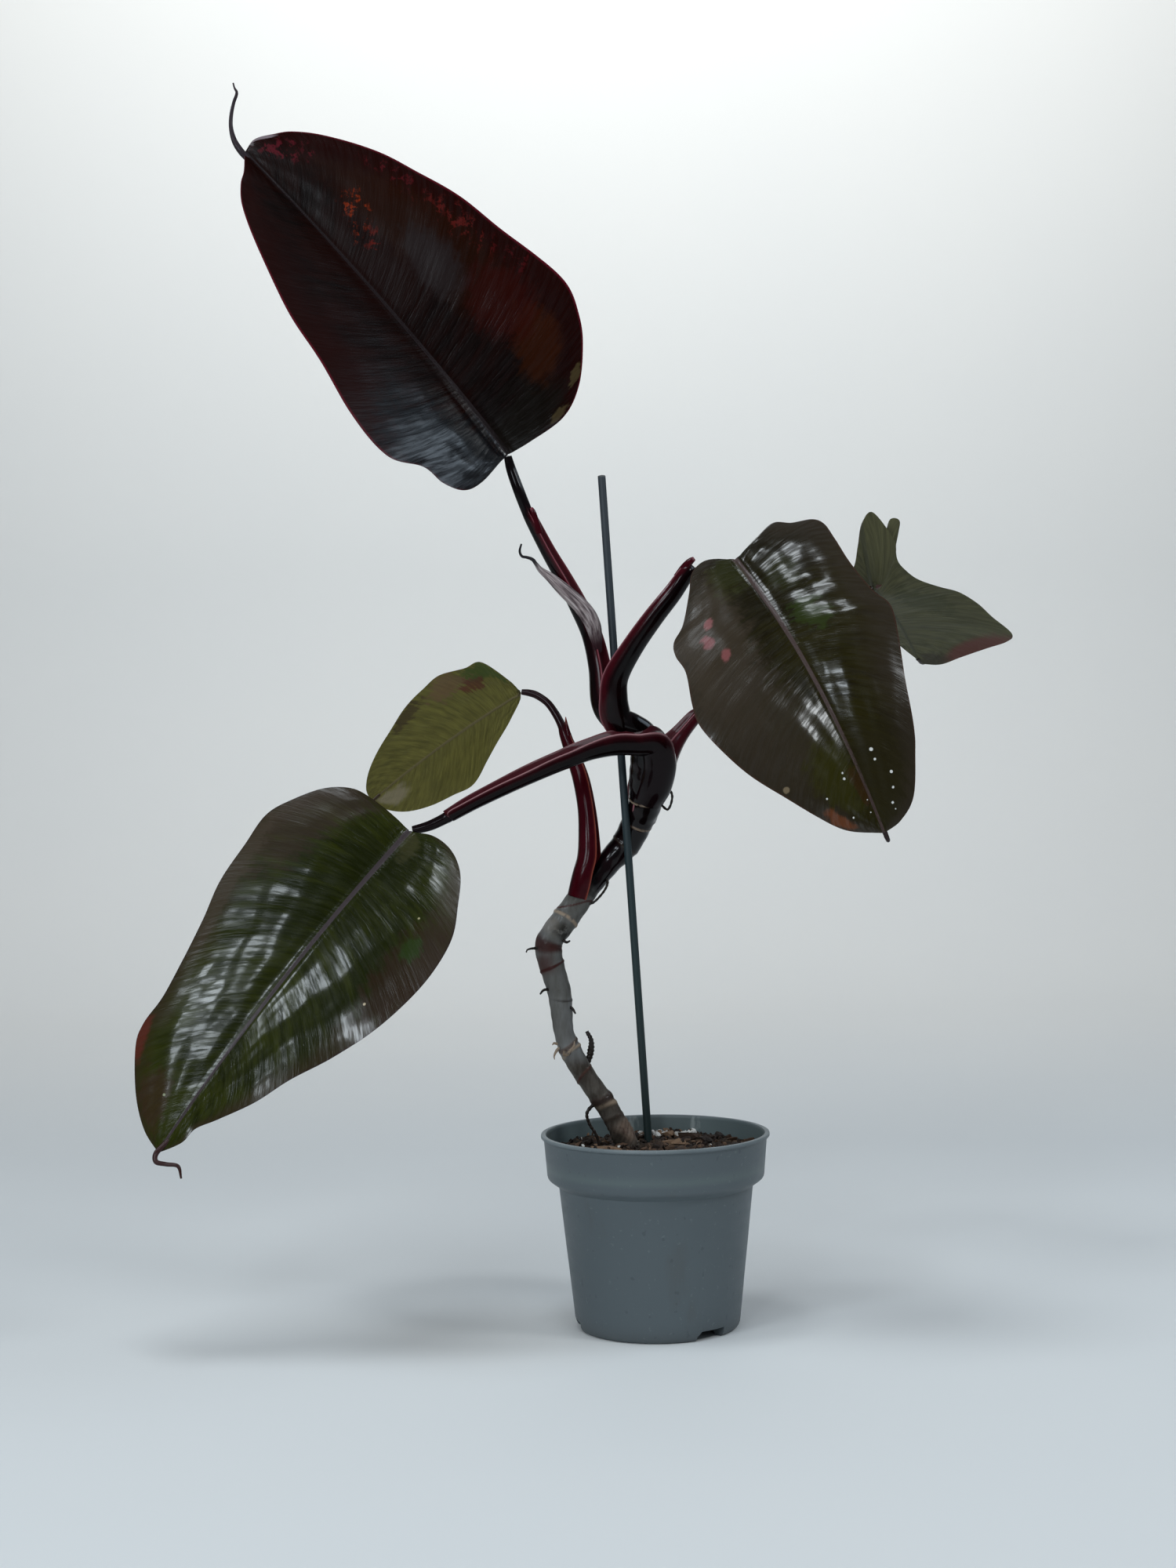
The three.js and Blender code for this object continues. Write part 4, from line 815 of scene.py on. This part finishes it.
def leaf_mesh(leaf, relief):
    """A closed blade: an upper and a lower sheet joined round the margin, a ridge along the midrib
    below, and the thread of its tip."""
    base, axes, _ = leaf_frame(leaf)
    place, normal, s, share = blade_grid(leaf, relief)
    columns = place.shape[1]
    t = np.abs(share)
    thick = BLADE_THICKNESS * (1 - 0.6 * t**3)
    ridge_width = 1.1 + 1.9 * (1 - s)
    ridge = RIDGE * (1 - 0.85 * s) * np.exp(-((place[..., 1] / ridge_width) ** 2))
    middle = columns // 2
    pole = np.minimum(1, 14 * s * (1 - s))
    top = place + normal * (thick / 2)[..., None]
    below = place - normal * (thick / 2 + ridge * pole)[..., None]
    for row in (0, -1):
        top[row] = top[row, middle]
        below[row] = below[row, middle]
    inner = top[1:-1].reshape(-1, 3)
    under = below[1:-1].reshape(-1, 3)
    rows = len(top) - 2
    points = np.vstack([inner, under, top[0, middle], below[0, middle], top[-1, middle], below[-1, middle]])
    under_first, poles = rows * columns, 2 * rows * columns
    faces = grid_faces(rows, columns)
    faces += [face[::-1] for face in grid_faces(rows, columns, under_first)]
    last = (rows - 1) * columns
    for k in range(columns - 1):
        faces.append([poles, k, k + 1])
        faces.append([poles + 1, under_first + k + 1, under_first + k])
        faces.append([poles + 2, last + k + 1, last + k])
        faces.append([poles + 3, under_first + last + k, under_first + last + k + 1])
    for i in range(rows - 1):
        a, b = i * columns, (i + 1) * columns
        faces.append([a, under_first + a, under_first + b, b])
        c, d = a + columns - 1, b + columns - 1
        faces.append([c, d, under_first + d, under_first + c])
    for pole_at, row, way in ((poles, 0, 1), (poles + 2, last, -1)):
        left, right = row, row + columns - 1
        faces.append([pole_at, pole_at + 1, under_first + left, left][::way])
        faces.append([pole_at, right, under_first + right, pole_at + 1][::way])

    def spread(values, filler):
        return np.concatenate([values[1:-1].ravel(), values[1:-1].ravel(), filler])

    ends = np.array([0, 0, 1, 1])
    is_under = np.concatenate([np.zeros(rows * columns), np.ones(rows * columns), [0, 1, 0, 1]])
    marks = {"s": spread(s, ends), "t": spread(t, 0 * ends), "side": spread(np.sign(share), 0 * ends),
             "under": is_under, "thread": np.zeros(len(points)),
             "rib": spread(np.abs(place[..., 1]), 0 * ends)}
    tail = np.array(leaf["tail"], float)
    u = np.linspace(0, 1, 12 * (len(tail) - 1) + 1)
    line = smooth_path(tail, u)
    thread_section = round_section(len(u), THREAD_SIDES)
    tail_points, tail_faces = swept(line[:, :3], 0.95 * line[:, 3], thread_section, (0, 0, 1))
    tail_marks = {mark: np.full(len(tail_points), float(mark in ("s", "thread"))) for mark in marks}
    points, faces, marks = joined([(points, faces, marks), (tail_points, tail_faces, tail_marks)])
    return base + points @ axes, faces, marks


VEIN_BEND = 0.05


def relief_of(quilt, ripple, waves, phase, crinkle, puckers=()):
    """How a blade's face departs from its plain form: a raised midrib with a groove on each side, the
    blade swelling a little between its side veins, slow waves that grow towards the margin, shallow
    dents, and the puckers [s, t, half, half their length along the midrib and across it, height]."""
    def relief(s, t, side, from_rib):
        fade = np.sin(np.pi * np.clip(t, 0, 1)) ** 0.7 * np.minimum(1, 8 * (1 - s)) * np.minimum(1, 10 * s)
        rib = 0.9 * (1 - 0.7 * s) * np.exp(-((from_rib / (1.4 + 1.2 * (1 - s))) ** 4))
        groove = -0.5 * (1 - s) * np.exp(-(((from_rib - 4.5) / 2.2) ** 2))
        swelling = quilt * np.sin(2 * np.pi * 15 * (s - VEIN_BEND * t**2)) * fade
        swelling += 0.4 * quilt * np.sin(2 * np.pi * 33 * (s - VEIN_BEND * t**2) + 4 * t) * fade
        wave = ripple * t**2 * np.sin(2 * np.pi * waves * s + phase + side) * np.sin(np.pi * s)
        dents = crinkle * fade * np.sin(26 * s + 7 * t + side) * np.sin(19 * t - 11 * s + phase)
        for at_s, at_t, half, long, wide, height in puckers:
            if half == side:
                away = ((s - at_s) / long) ** 2 + ((t - at_t) / wide) ** 2
                dents = dents + height * fade * np.exp(-away)
        return rib + groove + swelling + wave + dents
    return relief


RELIEFS = {
    "top_left": relief_of(0.07, 0.9, 4, 0.4, 0.3, [
        (0.2, 0.7, 1, 0.05, 0.2, 0.9), (0.3, 0.3, -1, 0.1, 0.1, -0.6)]),
    "lower_left": relief_of(0.09, 1.0, 3.4, 1.0, 0.3, [
        (0.32, 0.65, 1, 0.03, 0.12, -0.7), (0.42, 0.5, 1, 0.04, 0.12, 0.5)]),
    "right": relief_of(0.13, 0.8, 5, 2.0, 0.4, [
        (0.42, 0.7, 1, 0.02, 0.12, 1.0), (0.46, 0.82, 1, 0.018, 0.1, -1.0), (0.5, 0.72, 1, 0.02, 0.12, 1.1),
        (0.54, 0.85, 1, 0.02, 0.1, -0.9), (0.36, 0.45, 1, 0.02, 0.2, 0.8), (0.3, 0.6, 1, 0.02, 0.2, -0.6),
        (0.4, 0.65, -1, 0.05, 0.12, 0.8), (0.5, 0.7, -1, 0.05, 0.14, -0.8),
        (0.26, 0.75, 1, 0.025, 0.15, 0.9)]),
    "small_left": relief_of(0.08, 0.6, 4, 0.0, 0.3),
    "back_right": relief_of(0.1, 0.1, 5, 0.5, 0.2, [
        (0.6, 0.3, -1, 0.02, 0.2, 0.8), (0.7, 0.5, -1, 0.02, 0.2, -0.8), (0.5, 0.5, 1, 0.03, 0.2, 0.6)]),
}


def leaf_finish(name, leaf, look):
    """Waxy leaf: a dark ground streaked along the side veins, a midrib and a margin of their own colours,
    a dull underside whose paler colour on the small left and back right leaves is partly painted light
    shining through the blade, a dried thread, patches and dots mostly of the leaf's own colours with a
    painted sheen and a painted reflection among them, and wax that is thicker in streaks."""
    wax = Paint("leaf of " + name, Coat_Roughness=0.12, Specular_IOR_Level=look["shine"])
    s, t, side = wax.mark("s"), wax.mark("t"), wax.mark("side")
    beneath = wax.mark("under")
    across = s - VEIN_BEND * t * t

    def along_veins(thin, long, shift, apart, detail, roughness):
        """Noise drawn out along the side veins, with another pattern in each half."""
        place = wax.triple(across * thin, t * long + side * shift, side * apart)
        return wax.noise(1, detail, roughness, place)

    def spot(row, edgewise, way, long, wide, ragged, start, end):
        """An ellipse in one half of the blade: 1 inside it and 0 outside, with an uneven edge."""
        away = (((s - row) / long) ** 2 + ((t - edgewise) / wide) ** 2) ** 0.5
        return (1 - wax.step(away + ragged, start, end)) * wax.step(side * way, 0.2, 0.4)

    streak = along_veins(60, 2.2, 7, 3, 3, 0.6)
    strand = along_veins(105, 3.2, 9, 5, 3, 0.6)
    fine = along_veins(240, 5, 7, 3, 2, 0.55)
    cloud = wax.noise(16, 3, 0.5)
    drift = wax.noise(34, 4, 0.6)
    grit = wax.noise(200, 4, 0.65)
    on_rib = 1 - wax.step(wax.mark("rib") / (0.9 + 1.1 * (1 - s)), 0.75, 1.1)
    ground = wax.layers(
        wax.mix(wax.step(cloud * 0.6 + streak * 0.4, 0.4, 0.6), look["dark"], look["light"]),
        (wax.step(strand, 0.45, 0.75) * 0.35, look["light"]),
        (wax.step(t + 0.5 * (drift - 0.5), look["warm_from"], 1.0) * 0.85, look["warm"]),
        (on_rib * 0.85, look["rib"]),
        (wax.step(t, 0.975, 0.997) * 0.8, look["edge"]))
    back_dark, back_pale = [tuple(share * v for v in look["under"]) for share in (0.6, 1.6)]
    back = wax.layers(
        wax.mix(wax.step(streak, 0.3, 0.7), back_dark, look["under"]),
        (wax.step(strand, 0.5, 0.8) * 0.5, back_pale), (on_rib * 0.6, look["rib"]))
    tone = wax.mix(beneath, ground, back)
    for row, edgewise, way, long, wide, ragged, colour, share in look["patches"]:
        inside = spot(row, edgewise, way, long, wide, ragged * (grit + streak - 1.0), 0.55, 1.1)
        if ragged > SPECKLED:
            inside = inside * wax.step(grit, 0.5, 0.6)
        tone = wax.mix(inside * share, tone, colour)
    for row, edgewise, way, size, colour in look["dots"]:
        middle = leaf_point(leaf, row, edgewise, way) * MM
        away = wax.node("ShaderNodeVectorMath", {"operation": "DISTANCE"}, {0: wax.place, 1: middle}, 1)
        inside = 1 - wax.step(away / (size * MM) + 0.9 * (grit - 0.5), 0.7, 1.1)
        tone = wax.mix(inside * 0.95, tone, colour)
    tone = wax.mix(wax.mark("thread") * 0.85, tone, look["thread"])
    relief = wax.bump(strand, 0.0006, 0.45, wax.bump(fine, 0.0002, 0.3))
    glaze = look["wax"] * (0.1 + 0.9 * wax.step(strand, 0.42, 0.6))
    glaze = glaze * (1 - 0.7 * on_rib) * (1 - 0.8 * beneath)
    rough = look["gloss"] + 0.08 * wax.step(fine, 0.3, 0.7) + 0.25 * beneath
    for row, edgewise, way, long, wide in look["dull"]:
        dull = spot(row, edgewise, way, long, wide, 0.8 * (drift - 0.5), 0.6, 1.2)
        glaze = glaze * (1 - 0.9 * dull)
        rough = rough + 0.15 * dull
    wax.feeds(Base_Color=tone, Normal=relief, Coat_Weight=glaze, Roughness=rough)
    return wax


def leaf_point(leaf, s, t, side):
    """The place on the blade at s and t of one half, in millimetres."""
    base, axes, _ = leaf_frame(leaf)
    return base + half_blade(leaf, side, np.array([s]), np.array([t]))[0, 0] @ axes


# Patches are [s, t, half, half their length along the midrib and across it, raggedness, colour,
# strength], and those more ragged than SPECKLED break up into specks; dots are [s, t, half, radius in
# mm, colour]; dull gives the patches with thin wax, without their last three. gloss is the roughness of
# the skin, shine its reflection and wax the thickness of the wax over it.
SPECKLED = 2
LOOKS = {
    "top_left": dict(
        dark=(0.003, 0.0008, 0.0005), light=(0.0085, 0.0012, 0.0005), warm=(0.013, 0.0009, 0.0003),
        under=(0.2, 0.16, 0.17), rib=(0.018, 0.012, 0.013), edge=(0.12, 0.006, 0.015),
        thread=(0.04, 0.03, 0.035), warm_from=0.4, gloss=0.2, shine=0.1, wax=0.4,
        dull=[(0.65, 0.6, 1, 0.35, 0.8), (0.85, 0.3, -1, 0.3, 0.6)], patches=[
            (0.6, 0.6, -1, 0.28, 0.3, 0.6, (0.02, 0.005, 0.001), 0.5),
            # A painted reflection: a cool blue tint over the lower lobe where it mirrors a window.
            (0.2, 0.6, 1, 0.24, 0.6, 0.8, (0.004, 0.0055, 0.007), 0.85),
            (0.12, 0.4, -1, 0.16, 0.5, 0.8, (0.005, 0.0035, 0.002), 0.8),
            (0.76, 0.42, -1, 0.045, 0.22, 2.2, (0.22, 0.022, 0.002), 0.85),
            (0.71, 0.3, -1, 0.025, 0.14, 2.2, (0.12, 0.006, 0.002), 0.85),
            (0.93, 0.7, -1, 0.07, 0.28, 2.4, (0.1, 0.008, 0.014), 0.8),
            (0.72, 0.88, -1, 0.08, 0.1, 3.2, (0.07, 0.005, 0.007), 0.8),
            (0.58, 0.85, -1, 0.09, 0.12, 3.0, (0.1, 0.009, 0.007), 0.8),
            (0.46, 0.9, -1, 0.06, 0.1, 3.0, (0.06, 0.004, 0.005), 0.7),
            (0.3, 0.62, -1, 0.1, 0.22, 0.8, (0.04, 0.008, 0.001), 0.55),
            (0.42, 0.6, -1, 0.1, 0.25, 0.8, (0.028, 0.0015, 0.001), 0.6),
            # A painted sheen: a grey violet patch where the dark blade catches a broad reflection.
            (0.58, 0.48, -1, 0.09, 0.2, 0.8, (0.02, 0.016, 0.017), 0.6),
            (0.12, 0.85, -1, 0.02, 0.1, 2.0, (0.1, 0.07, 0.03), 0.5),
            (0.19, 0.92, -1, 0.02, 0.06, 2.0, (0.1, 0.075, 0.03), 0.5),
            (0.96, 0.96, -1, 0.03, 0.05, 0.3, (0.3, 0.24, 0.26), 0.8)],
        dots=[]),
    "lower_left": dict(
        dark=(0.009, 0.012, 0.0004), light=(0.025, 0.03, 0.0012), warm=(0.03, 0.02, 0.008),
        under=(0.07, 0.075, 0.03), rib=(0.062, 0.046, 0.052), edge=(0.022, 0.01, 0.008),
        thread=(0.04, 0.014, 0.013), warm_from=0.7, gloss=0.19, shine=0.13, wax=0.6,
        dull=[(0.3, 0.75, -1, 0.22, 0.35), (0.28, 0.9, 1, 0.14, 0.2)], patches=[
            (0.25, 0.75, -1, 0.2, 0.3, 1.0, (0.036, 0.02, 0.012), 0.6),
            (0.45, 0.95, -1, 0.2, 0.12, 1.0, (0.05, 0.036, 0.022), 0.7),
            (0.42, 0.85, 1, 0.16, 0.25, 1.0, (0.026, 0.012, 0.006), 0.7),
            (0.38, 0.75, 1, 0.03, 0.1, 1.2, (0.018, 0.042, 0.006), 0.7),
            (0.78, 0.97, -1, 0.05, 0.09, 0.8, (0.1, 0.02, 0.012), 0.85),
            (0.9, 0.7, -1, 0.07, 0.3, 1.0, (0.04, 0.02, 0.01), 0.7),
            (0.12, 0.2, 1, 0.1, 0.2, 1.0, (0.06, 0.055, 0.02), 0.5)],
        dots=[(0.32, 0.65, 1, 0.8, (0.4, 0.36, 0.2)), (0.52, 0.78, 1, 1.1, (0.55, 0.45, 0.3)),
              (0.89, 0.53, -1, 1.0, (0.3, 0.32, 0.2))]),
    "right": dict(
        dark=(0.0085, 0.006, 0.0005), light=(0.019, 0.0155, 0.002), warm=(0.03, 0.022, 0.014),
        under=(0.05, 0.045, 0.02), rib=(0.075, 0.048, 0.045), edge=(0.05, 0.022, 0.014),
        thread=(0.02, 0.01, 0.01), warm_from=0.4, gloss=0.19, shine=0.13, wax=0.7,
        dull=[(0.38, 0.65, -1, 0.2, 0.5), (0.9, 0.6, 1, 0.15, 0.7)], patches=[
            (0.4, 0.65, -1, 0.28, 0.4, 0.9, (0.042, 0.029, 0.017), 0.75),
            (0.65, 0.6, -1, 0.2, 0.45, 0.9, (0.036, 0.027, 0.018), 0.7),
            (0.15, 0.3, -1, 0.14, 0.4, 1.4, (0.03, 0.034, 0.006), 0.5),
            (0.46, 0.3, 1, 0.07, 0.2, 1.8, (0.028, 0.045, 0.006), 0.6),
            (0.3, 0.3, 1, 0.08, 0.2, 1.0, (0.02, 0.022, 0.003), 0.6),
            (0.85, 0.4, -1, 0.1, 0.4, 1.0, (0.03, 0.028, 0.003), 0.8),
            (0.88, 0.4, 1, 0.12, 0.5, 1.0, (0.018, 0.014, 0.003), 0.8),
            (0.9, 0.15, -1, 0.05, 0.15, 1.0, (0.035, 0.014, 0.003), 0.7),
            (0.9, 0.88, -1, 0.04, 0.12, 1.0, (0.14, 0.04, 0.012), 0.85),
            (0.34, 0.62, -1, 0.02, 0.06, 1.0, (0.26, 0.09, 0.09), 0.75),
            (0.39, 0.7, -1, 0.02, 0.07, 1.0, (0.26, 0.095, 0.1), 0.75),
            (0.45, 0.6, -1, 0.018, 0.06, 1.0, (0.26, 0.08, 0.08), 0.75)],
        dots=[(at_s, at_t, way, 0.8 * size, (0.8, 0.8, 0.77)) for at_s, at_t, way, size in [
            (0.83, 0.33, 1, 1.5), (0.85, 0.35, 1, 1.0), (0.85, 0.3, -1, 1.1), (0.86, 0.33, -1, 1.3),
            (0.87, 0.58, 1, 1.1), (0.9, 0.58, 1, 1.1), (0.93, 0.58, 1, 1.0), (0.84, 0.73, -1, 0.8),
            (0.85, 0.73, -1, 1.0), (0.93, 0.12, -1, 0.7), (0.95, 0.25, -1, 0.8), (0.94, 0.68, 1, 0.8),
            (0.98, 0.01, -1, 0.7), (0.92, 0.7, -1, 0.8)]] + [(0.77, 0.93, -1, 2.0, (0.2, 0.15, 0.09))]),
    "small_left": dict(
        dark=(0.014, 0.01, 0.005), light=(0.02, 0.016, 0.008), warm=(0.05, 0.03, 0.012),
        # The pale yellow green underside colour is partly the blade's own and partly painted light shining
        # through it.
        under=(0.17, 0.15, 0.033), rib=(0.17, 0.13, 0.07), edge=(0.04, 0.014, 0.008),
        thread=(0.04, 0.02, 0.01), warm_from=0.4, gloss=0.3, shine=0.2, wax=0.3,
        dull=[(0.5, 0.5, -1, 0.2, 0.4)], patches=[
            (0.25, 0.8, 1, 0.16, 0.22, 1.6, (0.04, 0.075, 0.01), 0.75),
            (0.4, 0.8, 1, 0.1, 0.22, 2.0, (0.18, 0.1, 0.05), 0.7),
            (0.32, 0.6, 1, 0.06, 0.16, 2.0, (0.11, 0.022, 0.014), 0.7),
            (0.6, 0.9, 1, 0.1, 0.12, 1.6, (0.05, 0.028, 0.014), 0.7),
            (0.9, 0.5, -1, 0.09, 0.35, 0.6, (0.3, 0.25, 0.16), 0.75)],
        dots=[]),
    "back_right": dict(
        dark=(0.06, 0.02, 0.012), light=(0.08, 0.025, 0.014), warm=(0.09, 0.025, 0.015),
        # The pale olive underside colour is partly the blade's own and partly painted light shining through
        # it.
        under=(0.09, 0.086, 0.038), rib=(0.05, 0.05, 0.03), edge=(0.045, 0.018, 0.012),
        thread=(0.03, 0.018, 0.015), warm_from=0.4, gloss=0.3, shine=0.25, wax=0.6,
        dull=[(0.2, 0.5, -1, 0.2, 0.4)], patches=[
            (0.84, 0.92, -1, 0.11, 0.3, 0.3, (0.11, 0.032, 0.024), 0.9),
            (0.95, 0.6, -1, 0.06, 0.5, 0.8, (0.03, 0.022, 0.012), 0.7),
            (0.5, 0.5, -1, 0.15, 0.3, 1.4, (0.04, 0.042, 0.012), 0.6),
            (0.6, 0.8, 1, 0.2, 0.3, 1.2, (0.045, 0.042, 0.02), 0.5)],
        dots=[]),
}
for name, leaf in LEAVES.items():
    points, faces, marks = leaf_mesh(leaf, RELIEFS[name])
    wax = leaf_finish(name, leaf, LOOKS[name])
    mesh_piece("blade_" + name, points, faces, wax, ["leaf_" + name], marks, 60)


# The withered sheath: the papery wrapper that the newest leaf left behind, grey pink and shrunk, with
# its own tip dried to a dark thread. It is still held in the channel of the top petiole.

WITHERED = [
    (-27.5, 9, 383.6, 1.8), (-28.6, 7, 389, 3), (-29.6, 6, 394.4, 4), (-31, 5, 399.8, 4.5),
    (-34.2, 4.4, 406, 4.8), (-39.6, 4, 412.4, 4.6), (-47.6, 4.6, 420, 3.9), (-54.6, 6, 426.6, 2.8),
    (-60, 7, 431, 1.8), (-62.6, 7.4, 434.4, 1.2), (-64.6, 7.4, 437, 1.1), (-67.8, 7.2, 438.3, 0.9),
    (-70.6, 7, 439, 0.8), (-71.8, 7, 442, 0.7), (-70.8, 7, 446, 0.5),
]
fold_u = np.linspace(0, 1, 200)
fold_line = smooth_path(WITHERED, fold_u)
fold_sides = 40
fold_angle = 2 * np.pi * np.arange(fold_sides) / fold_sides
flatness = np.maximum(0.42, 0.5 / fold_line[:, 3:4])
pleats = 1 + 0.09 * np.sin(7 * fold_angle + 9 * fold_u[:, None]) * np.minimum(1, fold_line[:, 3:4] / 3)
fold_ring = np.stack([np.cos(fold_angle) * pleats, np.sin(fold_angle) * pleats * flatness], -1)
dry_points, dry_faces = swept(fold_line[:, :3], fold_line[:, 3], fold_ring, (0.25, -0.9, 0.3))
dry_far = capped(np.repeat(fold_u[:, None], fold_sides, 1), 0.5)
dry_around = capped(np.repeat(fold_angle[None] / (2 * np.pi), len(fold_u), 0), 0.5)
paper = Paint("withered sheath", Roughness=0.6, Specular_IOR_Level=0.3)
far = paper.mark("far")
creases = paper.noise(1, 5, 0.6, paper.triple(paper.mark("around") * 22, far * 9))
# Colour from the same crease pattern as the bump: the paper's own streaks, with painted shade in the hollows
# of the creases and painted light on their ridges.
dry_tone_and_crease_shade = paper.ramp(
    creases, (0.36, (0.05, 0.032, 0.035)), (0.48, (0.2, 0.155, 0.155)), (0.62, (0.42, 0.365, 0.355)))
dry_tone_and_crease_shade = paper.layers(
    dry_tone_and_crease_shade, (paper.step(far, 0.56, 0.68), (0.012, 0.009, 0.012)),
    (1 - paper.step(far, 0.05, 0.22), (0.03, 0.004, 0.008)))
paper.feeds(Base_Color=dry_tone_and_crease_shade, Normal=paper.bump(creases, 0.0012, 0.7))
mesh_piece("withered_sheath", dry_points, dry_faces, paper, ["withered_new_leaf"],
           {"far": dry_far, "around": dry_around}, 60)


# The studio: a pale floor that runs up into a pale wall behind, soft window lights, one lamp on the
# wall, and the camera at the height of the crown.


FLOOR_FRONT, WALL_AT, WALL_BEND, WALL_TOP = -3, 2.2, 0.6, 1.6


def studio_sheet():
    """Floor and wall in one sheet: level, then a quarter circle, then upright."""
    bend = np.linspace(0, np.pi / 2, 24)
    y = np.concatenate([[FLOOR_FRONT], WALL_AT + WALL_BEND * (np.sin(bend) - 1), [WALL_AT]])
    z = np.concatenate([[0], WALL_BEND * (1 - np.cos(bend)), [WALL_TOP]])
    points = [(x, b, c) for b, c in zip(y, z) for x in (-2, 2)]
    mesh = bpy.data.meshes.new("studio_sheet")
    mesh.from_pydata(points, [], grid_faces(len(y), 2))
    mesh.shade_smooth()
    return mesh


sheet = bpy.data.objects.new("studio_sheet", studio_sheet())
bpy.context.scene.collection.objects.link(sheet)
wall_paint = Paint("pale paper", Roughness=0.75)
paper_grain = wall_paint.noise(3, 3)
wall_paint.feeds(Base_Color=wall_paint.mix(paper_grain, (0.77, 0.785, 0.785), (0.8, 0.81, 0.8)))
sheet.data.materials.append(wall_paint.material)

world = bpy.data.worlds.new("studio air")
bpy.context.scene.world = world
bpy.context.scene.view_settings.view_transform = "Standard"
world.use_nodes = True
world.node_tree.nodes["Background"].inputs["Color"].default_value = (0.86, 0.92, 1.0, 1)
world.node_tree.nodes["Background"].inputs["Strength"].default_value = 0.14


def soft_light(name, at, towards, size, power, colour):
    """A rectangular area light."""
    data = bpy.data.lights.new(name, "AREA")
    data.shape = "RECTANGLE"
    data.size, data.size_y = size
    data.energy = power
    data.color = colour
    lamp = bpy.data.objects.new(name, data)
    bpy.context.scene.collection.objects.link(lamp)
    lamp.location = at
    lamp.rotation_euler = (Vector(towards) - Vector(at)).to_track_quat("-Z", "Y").to_euler()


soft_light("window_left", (-1.19, -1.44, 1.26), (-0.22, -0.05, 0.2), (0.42, 0.3), 6.6, (0.84, 0.93, 1.0))
soft_light("window_low_left", (-0.97, -1.78, 0.88), (-0.24, -0.06, 0.16), (0.5, 0.3), 5.4, (0.84, 0.93, 1.0))
soft_light("window_far_left", (-1.39, -0.31, 1.38), (-0.17, -0.05, 0.22), (0.34, 0.24), 2.8,
           (0.84, 0.93, 1.0))
soft_light("window_front", (-0.5, -1.85, 1.25), (0.1, -0.08, 0.36), (0.24, 0.4), 3.8, (0.84, 0.93, 1.0))
soft_light("window_above", (-0.32, -0.4, 2.2), (0.05, -0.05, 0.4), (0.85, 0.5), 13, (0.88, 0.95, 1.0))
soft_light("window_right", (1.34, -0.84, 1.48), (0.09, -0.08, 0.34), (0.42, 0.34), 7, (0.92, 0.97, 1.0))
soft_light("window_behind", (1.19, 0.23, 1.41), (-0.1, 0.0, 0.49), (0.9, 0.56), 5, (0.7, 0.85, 1.0))
soft_light("wall_wash", (0, 1.02, 1.95), (0, 2.2, 1.7), (2.2, 0.5), 24, (1.0, 0.98, 0.94))

pitch, roll = np.radians(0.76), np.radians(0.92)
forward = np.array([0, np.cos(pitch), -np.sin(pitch)])
level_up = np.array([0, np.sin(pitch), np.cos(pitch)])
right = np.cos(roll) * np.array([1, 0, 0]) - np.sin(roll) * level_up
above = np.sin(roll) * np.array([1, 0, 0]) + np.cos(roll) * level_up
lens = bpy.data.cameras.new("camera")
lens.lens = 54
lens.sensor_width = 36
camera = bpy.data.objects.new("camera", lens)
bpy.context.scene.collection.objects.link(camera)
turned = np.eye(4)
turned[:3, 0], turned[:3, 1], turned[:3, 2], turned[:3, 3] = right, above, -forward, (-0.035, -1.336, 0.3263)
camera.matrix_world = Matrix(turned.tolist())
bpy.context.scene.camera = camera
